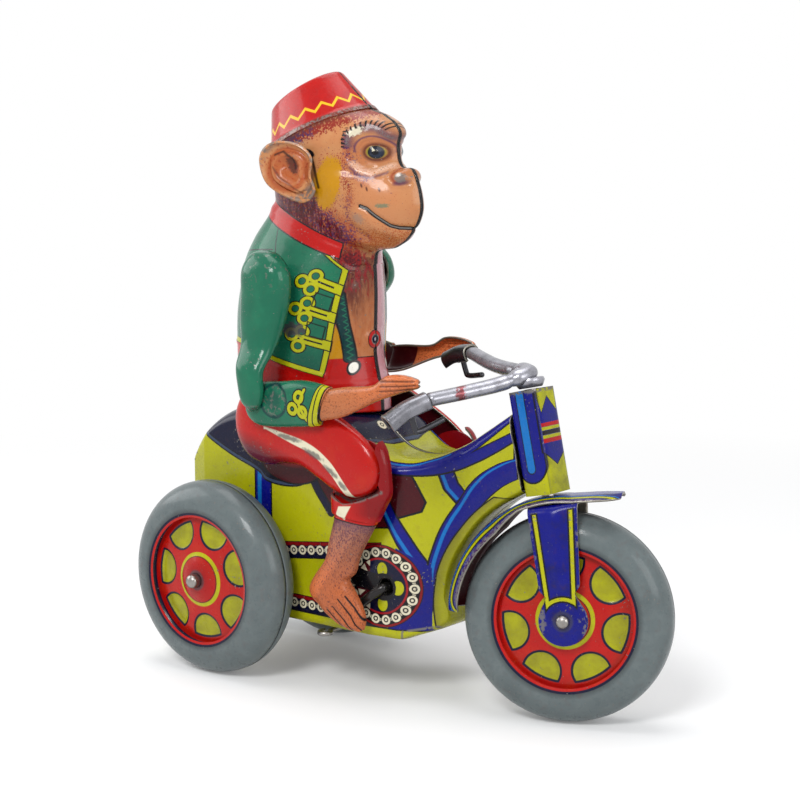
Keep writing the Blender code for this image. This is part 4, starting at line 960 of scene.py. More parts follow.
    def fender_print(self) -> Coating:
        """Blue, with a yellow line and a thin light line along each edge, scuffed at the rim."""
        tin = self.start("fender_print", BLUE)
        tin.mottle(NAVY, 0.4, 3, 0.42, 0.7, 0.6)
        out = abs(tin.w)
        tin.fill(abs(out - 3.8) - 0.28, YELLOW, 0.3)
        tin.lay(abs(out - 3.1) - 0.12, SKY)
        worn = tin.noise(1.6, 5)
        tin.wear((out - 4.6).rise(-0.3, 0.5) * worn.rise(0.46, 0.52) * 0.85)
        tin.ink((out - 4.75).rise(-0.1, 0.1) * worn.rise(0.54, 0.5) * 0.6, MAROON)
        return tin.seal(Finish(roughness=0.28, coat=0.4, chips=0.6, grime=0.3))

    def fender(self) -> None:
        """A dished strip on an arc over the wheel, with a straight front tip and a rounded rear end."""
        a = np.radians(np.linspace(self.fender_rear_deg, self.fender_front_deg, 84))
        spine = np.stack([self.fender_radius * np.cos(a), self.fender_radius * np.sin(a)], axis=1)
        middle = [(spine[-1, 0] + self.fender_tip[0]) / 2, (spine[-1, 1] + self.fender_tip[1]) / 2 + 0.05]
        flip = spline(np.array([spine[-2], spine[-1], middle, self.fender_tip]), 48)[17:]
        route = np.vstack([spine, flip])
        ahead = unit(np.gradient(route, axis=0))
        out = np.column_stack([-ahead[:, 1], ahead[:, 0]])
        out *= np.sign((out * route).sum(1))[:, None]
        share = lengths(route)
        share = share / share[-1]
        wide = self.fender_half * np.sqrt(np.clip(1 - np.clip(1 - (share + 0.035) / 0.12, 0, 1) ** 2, 0, 1))
        wide *= np.sqrt(np.clip(1 - np.clip((share - 0.86) / 0.16, 0, 1) ** 2.2, 0, 1))
        t = np.linspace(-1.0, 1.0, 21)
        fall = 0.75 + 1.5 * np.clip((0.57 - share) / 0.14, 0.0, 1.0)[:, None]
        lift = 0.4 - fall * np.abs(t) ** 2.6 + 0.12 * np.exp(-((np.abs(t) - 0.52) / 0.09) ** 2)
        grid = np.stack([route[:, :1] + out[:, :1] * lift, t[None, :] * wide[:, None],
                         route[:, 1:] + out[:, 1:] * lift], axis=-1)
        piece = skin("fender_tin", self.place(grid), self.fender_print(),
                     inside=tuple(self.place(np.array([0.0, 0.0, 0.0]))))
        Frame.dress(thicken(piece, self.bench.edge, self.bench.inside_maroon, 0.35), "fender")

    def tube_print(self) -> Coating:
        """Blue head tube with a light round-ended stripe on each side, banded stripes in front and painted
        shade along the front corners.
        """
        tin = self.start("head_tube_print", YELLOW, 0.0)
        v = tin.v
        blotch = tin.mottle(OLIVE, 0.5, 3, 0.5, 0.8, 0.3)
        face = 2.5 - tin.u
        front = tin.u.rise(2.45, 2.55)
        side = abs(tin.w)
        tin.fill((tin.stroke((-0.2, 26.3), (-0.2, 42)) - 2.7).high(-face), BLUE, 0.3)
        tin.fill((tin.stroke((-0.3, 25.9), (-0.3, 42)) - 0.75).high(-face), SKY, 0.18)
        top = (side * -1.2 + 2.64).high(side * 4 - 8.8) + 35.0
        tin.fill((v - top).high(side * 0.75 + 26.2 - v).high(face), BLUE, 0.24)
        for middle, width, tint in ((33, 0.32, RED), (32.35, 0.28, YELLOW), (31.65, 0.34, BLACK),
                                    (30.95, 0.28, YELLOW), (30.3, 0.36, RED)):
            tin.ink(front * (abs(v - middle) - width).inside() * (side - 2.7).inside(), tint)
        tin.ink(blotch.rise(0.42, 0.7) * front * 0.25, NAVY)
        # Painted shade: black darkening along the front corners, where the front face turns to the sides.
        corner = (side - (self.tube_width / 2 - 0.5)).rise(-0.3, 0.3) * front
        tin.ink(corner * 0.5, BLACK)
        worn = tin.noise(1.4, 5)
        tin.wear((v - (self.tube_top - 0.5)).rise(-0.25, 0.15) * worn.rise(0.4, 0.5))
        return tin.seal(Finish(roughness=0.26, coat=0.4, chips=0.4, grime=0.25))

    def head_tube(self) -> None:
        """A rounded box tube on the head's axis that does not steer.

        Rows run up the outside, over the rim and down the inside; columns go round a superellipse.
        """
        a = np.linspace(0.0, 2 * np.pi, 96, endpoint=False)
        power = 0.34
        shape = np.stack([signed_power(np.cos(a), power), signed_power(np.sin(a), power)], axis=1)
        wall = 0.5
        heights = np.linspace(self.tube_low, self.tube_top, 30)
        rows = [(h, 0.0) for h in heights] + [(self.tube_top, 0.12), (self.tube_top, wall)]
        rows += [(h, wall) for h in heights[::-6]] + [(self.tube_low, wall)]
        grid = np.stack([np.column_stack([shape[:, 0] * (self.tube_length / 2 - d),
                                          shape[:, 1] * (self.tube_width / 2 - d), np.full(len(a), h)])
                         for h, d in rows])
        piece = skin("head_tube_tin", self.place(grid, 0.0), self.tube_print(), wrap_rows=True,
                     wrap_columns=True, sharp_deg=50.0)
        Frame.dress(piece, "head_tube")

    def bar_print(self) -> Coating:
        """Silver lacquer with rubbed red patches, dark grey blotches, and darker grey towards the grip ends.
        """
        tin = self.start("bar_lacquer", SILVER)
        rub = tin.noise(1.4, 5)
        patch = (tin.u + 9.3 + (rub - 0.5) * 2).inside(0.1) * (tin.u + 10.6 + (rub - 0.5)).rise(-0.1, 0.1)
        tin.ink(patch * rub.rise(0.4, 0.46) * tin.w.rise(-0.1, 0.1) * 0.85, DEEP_RED)
        tin.ink(tin.noise(0.5, 3).rise(0.4, 0.7) * 0.5, GUNMETAL)
        # Darker grey towards the grip ends.
        tin.lay(tin.u + 15, GUNMETAL, 4, 0.6)
        return tin.seal(Finish(roughness=0.3, metallic=0.7, coat=0.2, dents=0.06, grain=0.01, chips=0.2,
                               grime=0.3, bare=GUNMETAL))

    def bar(self) -> None:
        """Handlebar, stem, grips and levers."""
        silver = self.bar_print()
        ends = np.array([(-3.8, 3.8, 0.4), (-8.3, 7.7, 1), (-13.4, 13.3, 2.2)])
        mirror = np.array([1.0, -1.0, 1.0])
        points = np.vstack([ends[::-1] * mirror, [(0, 0, 0.5)], ends])
        route = spline(points, 70)
        share = np.abs(np.linspace(-1.0, 1.0, len(route)))
        radii = 1.7 - 0.25 * share + 0.22 * np.exp(-((share - 0.16) / 0.05) ** 2)
        radii -= 0.3 * np.exp(-((share - 0.24) / 0.03) ** 2)
        Frame.dress(tube("handlebar_tin", self.roll(route), radii * 0.98, silver, 28, 0.82), "handlebar")
        low = self.tube_top + 0.3
        profile = np.array([(low, 0.4), (low, 2.0), (low + 0.25, 2.2), (low + 1.0, 2.6),
                            (BAR_HEIGHT - 0.9, 2.6), (BAR_HEIGHT - 0.5, 2.45), (BAR_HEIGHT - 0.4, 2.1),
                            (BAR_HEIGHT - 0.4, 0.4)])
        a = np.linspace(0.0, 2 * np.pi, 40, endpoint=False)
        grid = np.stack([np.column_stack([r * np.cos(a), r * np.sin(a), np.full(len(a), h)]) for h,
                         r in profile])
        Frame.dress(skin("stem_tin", self.place(grid), silver, wrap_rows=True, wrap_columns=True), "stem")
        for side in Side:
            self.grip(side, silver if side is Side.RIGHT else self.bench.gunmetal)
            self.lever(side)

    def grip(self, side: Side, material: Coating) -> None:
        """A downward open channel along the end of the bar, with a rounded back and flared end."""
        raw = np.array([(-13.8, 13.65, 2.25), (-17, 16.2, 1.8), (-19.8, 18.5, 0.6)])
        points = spline(raw * np.array([1.0, side.value, 1.0]), 26)
        ahead = unit(np.gradient(points, axis=0))
        across = unit(np.cross(ahead, np.array([0.0, 0.0, 1.0])))
        up = np.cross(across, ahead)
        a = np.radians(np.linspace(-38.0, 218.0, 27))
        wide = 1.7 * signed_power(np.cos(a), 0.7)
        deep = np.where(np.sin(a) > 0, 1.5, 2.1) * np.sin(a)
        flare = (1.0 + 0.08 * np.linspace(0.0, 1.0, len(points)) ** 4)[:, None, None]
        section = across[:, None, :] * wide[None, :, None] + up[:, None, :] * deep[None, :, None]
        grid = points[:, None, :] + section * flare
        piece = skin(f"grip_{side.word}_tin", self.roll(grid), material,
                     inside=tuple(self.roll(points[len(points) // 2])))
        Frame.dress(thicken(piece, self.bench.edge, self.bench.gunmetal, 0.45), f"grip_{side.word}")

    def lever(self, side: Side) -> None:
        """A bent wire that stands for the brake lever, with its strut."""
        raw = np.array([(-16.4, 15.75, 2.1), (-16.4, 15.75, -1.4), (-15.9, 15.4, -2.3), (-12.4, 12.4, -1.8)])
        route = spline(raw * np.array([1.0, side.value, 1.0]), 40)
        Frame.dress(tube(f"brake_lever_{side.word}_wire", self.roll(route), 0.5, self.bench.gunmetal, 16),
                    f"brake_lever_{side.word}")

    def build(self) -> None:
        """Make every piece of the steering."""
        self.fork()
        self.fender()
        self.head_tube()
        self.bar()
        Frame.coat("steering_pin", self.bench.steel)


@dataclass
class Body:
    """The printed body: two stamped sides over the clockwork."""

    bench: Bench
    bottom: float = 10.6
    half_width: float = 11.0
    nose: float = 3.3
    arch: float = 21.8
    saddle: float = 49.2
    rounding: float = 2.6
    window: tuple = (3, 33, 6.2)
    gap: float = 0.3
    ring: tuple = (34.8, 20.2)
    ring_radius: float = 6.1
    great: tuple = (12.17, 27.51)

    def width(self, x: Array) -> Array:
        """Half width in plan: boat-tailed behind, drawn in to the arch in front."""
        at = [-16.2, -15.4, -14.0, -12.0, -8.0, 32.0, 38.0, 43.0, 48.0, 52.0, 57.0, 70.0]
        wide = [1.2, 4.6, 7.6, 9.6, self.half_width, self.half_width, 10.2, 7.6, 4.8, self.nose + 0.6,
                self.nose, self.nose]
        return np.interp(x, at, wide)

    def head_line(self, height: float) -> tuple[float, float]:
        """A point just behind the head tube's rear face, at a height along the raked axis."""
        point = Steering.place(np.array([-(2.9 + self.gap), 0.0, height]), 0.0)
        return float(point[0]), float(point[2])

    def outline(self, count: int) -> tuple[Array, Array]:
        """The lower and the upper edge of a side as matching points from the tail to the head.

        Args:
            count: points on each edge.

        Returns:
            Rows of x, z and rounding for the lower and for the upper edge.
        """
        tail, s = (-16, 27, 0.5), self.saddle
        upper = [tail, (-14.3, 35, 0.8), (-10.4, s - 7.0, 1), (-4.5, s - 1.9, 1), (2.0, s, 1.0),
                 (13.0, s, 1.0), (24.0, s, 1.0), (27.4, s - 1.0, 1), (30.5, s - 3.6, 1), (34.0, s - 5.6, 1.0),
                 (38.5, 43, 1), (43.6, 44, 1), (48.2, 46.2, 1), (52.2, 48.9, 0.8),
                 (*self.head_line(35.6), 0.6)]
        corner = [tail, (-15.6, 18, 0.4), (-13.8, 12, 0.3), (-11.5, self.bottom, 0.1)]
        arch = [(38.8, self.bottom, 0.2)]
        arch += [(WHEELBASE - math.sqrt(self.arch ** 2 - (z - WHEEL_RADIUS) ** 2), z, 0.35)
                 for z in (14, 18.5, 23, 27.5, 32, 35.6)]
        arch += [(*self.head_line(21.9), 0.35)]
        lower = np.vstack([spline(np.array(corner), 60), spline(np.array(arch), 150)])
        return self.even(lower, count), self.even(spline(np.array(upper), 260), count)

    @staticmethod
    def even(line: Array, count: int) -> Array:
        """Resample a line evenly by its length."""
        step = lengths(line[:, :2])
        want = np.linspace(0.0, step[-1], count)
        return np.stack([np.interp(want, step, line[:, k]) for k in range(line.shape[1])], axis=1)

    @staticmethod
    def bore(flat: Array, x: float, z: float, radius: float, room: float = 2.6) -> tuple[Array, Array]:
        """Open a round hole in a grid by drawing its points outward from the middle.

        Args:
            flat: rows by columns of (x, z).
            x: middle of the hole.
            z: middle of the hole.
            radius: radius of the hole.
            room: distance within which points are drawn outward.

        Returns:
            The moved points, and a mask of the faces to keep.
        """
        away = flat - np.array([x, z])
        far = np.linalg.norm(away, axis=-1)
        wide = np.where(far < room, radius + (room - radius) * far / room, far)
        moved = np.array([x, z]) + away * (wide / np.maximum(far, 1e-6))[..., None]
        middle = (far[:-1, :-1] + far[1:, :-1] + far[:-1, 1:] + far[1:, 1:]) / 4
        return moved, middle > 0.55

    def side(self, side: Side, material: Coating) -> None:
        """One stamped side.

        Columns run from the tail to the head; rows run from the seam on top over the shoulder, down
        the flat side and under to the seam below.
        """
        lower, upper = self.outline(330)
        across = lower[:, :2] - upper[:, :2]
        span = np.maximum(np.linalg.norm(across, axis=1, keepdims=True), 1e-6)
        across = across / span
        arc = np.radians(np.linspace(0.0, 90.0, 12))[1:]
        share = np.concatenate([np.linspace(0.0, 0.5, 8), 0.5 + 0.5 * np.sin(arc)])
        sink = np.concatenate([np.zeros(8), 1.0 - np.cos(arc)])
        top_in = np.minimum(self.rounding * upper[:, 2:], 0.42 * span)
        low_in = np.minimum(self.rounding * lower[:, 2:], 0.42 * span)
        top = upper[None, :, :2] + across[None] * top_in[None] * sink[:, None, None]
        low = lower[None, :, :2] - across[None] * low_in[None] * sink[:, None, None]
        down = np.linspace(0.0, 1.0, 72)[1:-1, None, None]
        panel = top[-1][None] * (1 - down) + low[-1][None] * down
        flat = np.concatenate([top, panel, low[::-1]])
        shares = np.concatenate([share, np.ones(len(down)), share[::-1]])
        keep = np.ones((flat.shape[0] - 1, flat.shape[1] - 1), bool)
        inner = slice(len(share), len(share) + len(down))
        holes = [(0, WHEEL_RADIUS, 1.3), (*CRANK, 1.15)]
        if side is Side.LEFT:
            holes.append((*self.great, 2.1))
        for x, z, radius in holes:
            flat[inner], open_ = self.bore(flat[inner], x, z, radius)
            keep[inner.start:inner.stop - 1] &= open_
        y = np.maximum(SEAM, shares[:, None] * self.width(flat[..., 0]))
        grid = np.stack([flat[..., 0], y, flat[..., 1]], axis=-1)
        side_face = np.clip((shares - 0.8) / 0.2, 0.0, 1.0)[:, None]
        raised = ridge(grid, ((29.5, 43.2), (36, 41.9), (42, 41.9), (47.5, 43.4), (53, 46.2), (57.5, 48.8)),
                       1.3)
        chain = ((58, 42.8), (54, 40.6), (50.4, 37), (47.4, 32), (45.4, 27), (44.6, 23.5))
        raised = np.maximum(raised, ridge(grid, chain, 1.3))
        raised = np.maximum(raised, 0.7 * ridge(grid, ((7.2, 36), (7.2, 22)), 1.1))
        grid[..., 1] += 0.28 * raised * side_face
        grid[..., 1] *= side.value
        centre = (grid[:-1, :-1] + grid[1:, 1:]) / 2
        low_x, high_x, half = self.window
        hole = (centre[..., 2] < self.bottom + 0.4) & (np.abs(centre[..., 1]) < half)
        keep &= ~(hole & (centre[..., 0] > low_x) & (centre[..., 0] < high_x))
        piece = skin(f"body_{side.word}_tin", grid, material, inside=(20.0, 0.0, 28.0), keep=keep)
        Frame.dress(thicken(piece, self.bench.edge, self.bench.inside, 0.45), f"body_{side.word}_half")

    def print_frame(self, tin: Litho) -> None:
        """The printed tubes of the tricycle's frame, each blue with a light line and black edges."""
        u, v = tin.u, tin.v
        def tube_print(shape: Field, light: Field) -> None:
            """One tube and its light line."""
            tin.fill(shape, BLUE, 0.33)
            tin.lay(light.high(shape + 0.15), SKY)

        rear = (abs(u - 7.15) - 1.85).high(v - 38)
        tube_print(rear, abs(u - 6.3) - 0.55)
        behind = tin.polygon((18.6, 40), (23.6, 32.4), (31, 30.6), (36, 31.2), (33, 42))
        tin.fill(behind - 0.2, MAROON, 0.3)
        slant = tin.stroke((17.6, 40.6), (20.6, 35.8), (23.6, 32.2)) - 0.65
        tin.fill(slant, NAVY, 0.3)
        seat = tin.stroke((33, 39.4), (38, 30.6), (40.4, 26.6), (43.2, 22.6))
        tube_print(seat - 1.1, tin.stroke((34.6, 35.4), (37.4, 30.6), (39.8, 26.6), (41.6, 23.9)) - 0.3)
        strut = tin.stroke((45.6, 41.6), (46.5, 38.8), (48.6, 36.2))
        tube_print(strut - 1.05, tin.stroke((45.1, 41), (46, 38.4), (47.4, 36.7)) - 0.28)
        down = self.down_tube(tin)
        tube_print(down[0], down[1])
        crest = tin.height((24, 49.2), (27.4, 48.2), (30.5, 45.6), (34, 43.6), (38.5, 43), (43.6, 44),
                           (48.2, 46.2), (52.2, 48.9), (56.9, 52.1))
        wide = tin.height((24, 11), (32, 11), (38, 10.2), (43, 7.6), (48, 4.8), (52, 3.9), (57, 3.3))
        fall = (crest - v) - (wide - abs(tin.w))
        low = tin.height((27, 41), (35.7, 40.8), (40.3, 40.6), (43.6, 40.8), (46.8, 41.6), (50.4, 43.2),
                         (54.4, 45.4), (57.6, 47.4), (60, 48.8))
        bar = (u.rise(44, 54) * 0.5 - 0.9 - fall).high(low - v).high(27.4 - u)
        tube_print(bar, (abs(fall + 0.25) - 0.3).high(u - 46))
        tin.fill(tin.polygon((51.6, 46), (58, 49.4), (58, 51.3)), YELLOW, 0.225)

    @staticmethod
    def down_tube(tin: Litho) -> tuple[Field, Field]:
        """Shape and light line of the down tube, whose edges are curves of u over v."""
        def edge(points: tuple) -> Field:
            """An edge through points of (u, v)."""
            return tin.curve(tin.v, [(v, u) for u, v in points], 40, 60)

        left = edge(((42.2, 12), (43, 23.9), (43.9, 27.7), (45.2, 31.5), (47.5, 35.7), (50.4, 40), (54.4, 43),
                     (58.3, 44.6)))
        right = edge(((42.9, 12), (43.3, 15.5), (44, 18.6), (45.3, 23.2), (47.2, 28.2), (50.5, 34.1),
                      (54.5, 38.6), (58.8, 41.2)))
        shape = (left - tin.u).high(tin.u - right).high(tin.v - 46.5)
        return shape, abs(tin.u - left - 0.75) - 0.32

    def print_chain(self, tin: Litho) -> None:
        """The printed chain, its ring with teeth and holes, and the runs to the back wheel."""
        u = tin.u
        cu, cv = self.ring
        far = tin.disc(cu, cv, 0)
        pitch = 2 * math.pi * self.ring_radius / 18
        for start, end in (((4, 22.6), (cu - 0.6, cv + self.ring_radius + 0.1)),
                           ((4, 14.2), (cu, cv - self.ring_radius))):
            along = Vector((end[0] - start[0], end[1] - start[1])).normalized()
            gone = tin.field("DOT_PRODUCT", tin.flat,
                             (along.x, along.y, -(along.x * start[0] + along.y * start[1])))
            off = tin.half_plane(start, end)
            run = (abs(off) - 1.45).high(u - cu).high(start[0] - 1 - u)
            tin.fill(run, NAVY, 0.16)
            tin.lay((abs(off + 1.15) - 0.34).high(run), DEEP_RED)
            self.links(tin, gone.repeat(pitch), off, run.inside())
        tin.steps(far, (7.55, BLACK), (7.4, DEEP_RED), (7, BLACK))
        angle = tin.arithmetic("ARCTAN2", tin.v - cv, u - cu)
        swing = angle.repeat(2 * math.pi / 18)
        self.links(tin, swing * self.ring_radius, far - self.ring_radius, 1.0)
        tin.steps(far, (5.2, BLACK), (5.1, Tint(146, 18, 26)), (4.75, NAVY))
        left = (u - 32.6).inside()
        tin.ink((far - 5.1).inside() * left, MAROON)
        tooth = (abs(swing) * far * 2.6 - far + 3.4).high(far - 5)
        tin.ink(tooth.inside() * left * 0.85, CREAM)
        for x, z in ((35.1, 23.2), (38.2, 20.2), (35.2, 17)):
            tin.fill(tin.ellipse(x, z, 1, 1.3), YELLOW, 0.15)
        lobe = tin.stroke((29.8, 21.2), (cu + 1, cv + 0.2)) - 1.7
        tin.lay(lobe.low(tin.disc(cu + 0.6, cv - 0.1, 2.5)), BLACK)

    @staticmethod
    def links(tin: Litho, along: Field, off: Field, where: Any) -> None:
        """Chain links as rings round rivets, joined by narrow plates.

        Args:
            tin: the print.
            along: distance along the chain from the nearest rivet.
            off: distance off the chain's middle line.
            where: mask of the chain.
        """
        far = tin.arithmetic("SQRT", along * along + off * off)
        plate = (abs(off) - 0.26).inside()
        ring = (far - 0.86).inside()
        tin.ink(plate * where, CREAM)
        tin.ink((far - 1).inside() * where, BLACK)
        tin.ink(ring * where, CREAM)
        tin.ink((abs(far - 0.36) - 0.12).inside() * where, BLACK)

    def print_side(self) -> Coating:
        """The whole print of a side, from the ground up."""
        tin = Litho("body_print", YELLOW)
        u, v = tin.u, tin.v
        tin.mottle(OLIVE, 0.22, 3, 0.5, 0.8, 0.3)
        panel = tin.polygon((36.6, 12.6), (43.4, 12.6), (43.4, 24), (38, 27), (36.6, 22))
        box = tin.polygon((34.6, 37.8), (38.2, 33.3), (41.6, 34.5), (42.1, 35.8), (40, 40.2), (34, 41.4))
        tin.fill(box - 0.3, MAROON, 0.375)
        self.print_frame(tin)
        far = tin.field("DISTANCE", tin.flat, (WHEELBASE, WHEEL_RADIUS, 1))
        tin.lay(panel - 0.3, BLUE)
        near = (far - 23.5).high(v - 37.4)
        tin.fill(near, OLIVE, 0.25)
        tin.lay((far - 22.9).high(v - 37.4), YELLOW, 0.5, 0.6)
        seat = tin.height((-16, 46), (-9, 44.2), (-6.5, 42.7), (-0.7, 40.1), (6.2, 37.7), (8.8, 36.1),
                          (14, 35.9), (18.1, 37.2), (22, 40.5), (26.9, 45), (31.6, 44.6), (34, 47))
        above = (seat - v).high(u - 33 + abs(tin.w) * 0.3)
        tin.fill(above, SLATE, 0.3)
        tin.lay(above + 0.5, BLACK)
        tin.lay(above + 0.75, NAVY)
        tin.lay((abs(tin.w) - 0.5).high(26 - u).high(42 - v), BLACK)
        tin.fill(tin.ellipse(14.3, 40, 7.2, 3.6), MAROON, 0.3)
        tin.lay(tin.ellipse(14.3, 41.2, 5, 1.6), RED, 0.5, 0.7)
        self.print_chain(tin)
        for z in (36.2, 37.6, 39, 40.4, 41.8):
            x = -13.6 + (z - 36.2) * 0.62
            tin.lay(tin.stroke((x, z), (x + 0.9, z + 0.1)) - 0.18, BLACK)
        tin.steps(v, (12.75, BLACK), (12.5, YELLOW))
        tin.lay(v - 11.6, OLIVE, 0.3, 0.5)
        spot = tin.field("DISTANCE", tin.place, (28.5, -2.3, 47.6))
        tin.steps(spot, (1.2, BLACK), (1, CREAM))
        tin.lay(abs(spot - 0.4) - 0.1, BLACK)
        worn = tin.noise(1.2, 5)
        tin.wear((tin.stroke((39, 12.4), (44.6, 13.6)) - 0.2).inside(0.1) * worn.rise(0.4, 0.5))
        tin.wear((v - 11).inside(0.2) * worn.rise(0.5, 0.56))
        tin.wear((abs(u - 38.9) - 0.18).inside() * (v - 12.3).inside() * 0.8)
        return tin.seal(Finish(roughness=0.27, coat=0.5, chips=0.5, grime=0.28))

    def build(self) -> None:
        """Make both sides."""
        material = self.print_side()
        for side in Side:
            self.side(side, material)


@dataclass
class Clockwork:
    """Crankshaft, stop lever and the motor behind the sides."""

    bench: Bench
    throw: float = 5.2
    wire: float = 0.85
    bend_y: float = 12.15
    end_y: float = 13.3
    right_deg: float = -142.0
    left_deg: float = -78.0
    stop_at: tuple = (22, 9.6)

    def crank(self) -> None:
        """One bent wire with a slanting throw at each end."""
        def half(degrees: float, side: int) -> Array:
            """Points of one throw, from the body outward."""
            a = math.radians(degrees)
            x, z = self.throw * math.cos(a), self.throw * math.sin(a)
            return np.array([(0, side * (self.bend_y - 1.6), 0), (0, side * (self.bend_y - 0.7), 0),
                             (0.3 * x, side * self.bend_y, 0.3 * z), (0.92 * x, side * self.bend_y, 0.92 * z),
                             (x, side * (self.end_y - 0.9), z), (x, side * (self.end_y - 0.75), z)])
        right, left = half(self.right_deg, -1), half(self.left_deg, 1)
        middle = np.linspace(right[0], left[0], 6)[1:-1]
        route = spline(np.vstack([right[::-1], middle, left]), 150) + np.array([CRANK[0], 0.0, CRANK[1]])
        Frame.dress(tube("crankshaft_wire", route, self.wire, self.bench.black_wire, 24), "crankshaft")

    def stop(self) -> None:
        """The looped wire of the stop lever."""
        a = np.radians(90.0 - 310.0 * np.linspace(0.0, 1.0, 40))
        loop = 1.1
        ring = np.column_stack([loop * np.cos(a), -9.8 - loop + loop * np.sin(a), np.zeros(40)])
        shaft = np.array([(0, 5.4, 3.2), (0, 5.4, 1.6), (0, 5.3, 0.6), (0, 4.8, 0.05), (0, 2.0, 0.0),
                          (0, -6.0, 0.0), (0, -9.2, 0)])
        route = np.vstack([spline(shaft, 40), ring]) + np.array([self.stop_at[0], 0.0, self.stop_at[1]])
        Frame.dress(tube("stop_lever_wire", route, 0.44, self.bench.steel, 14), "stop_lever")

    def build(self) -> None:
        """Make the wires and finish the motor's solids."""
        self.crank()
        self.stop()
        for node in ("axle_pinion", "great_wheel", "idler_wheel", "crank_wheel", "governor"):
            Frame.coat(node, self.bench.brass)
        for node in ("winding_arbor", "motor_plate_right", "motor_plate_left"):
            Frame.coat(node, self.bench.steel)
        Frame.coat("mainspring", self.bench.spring)


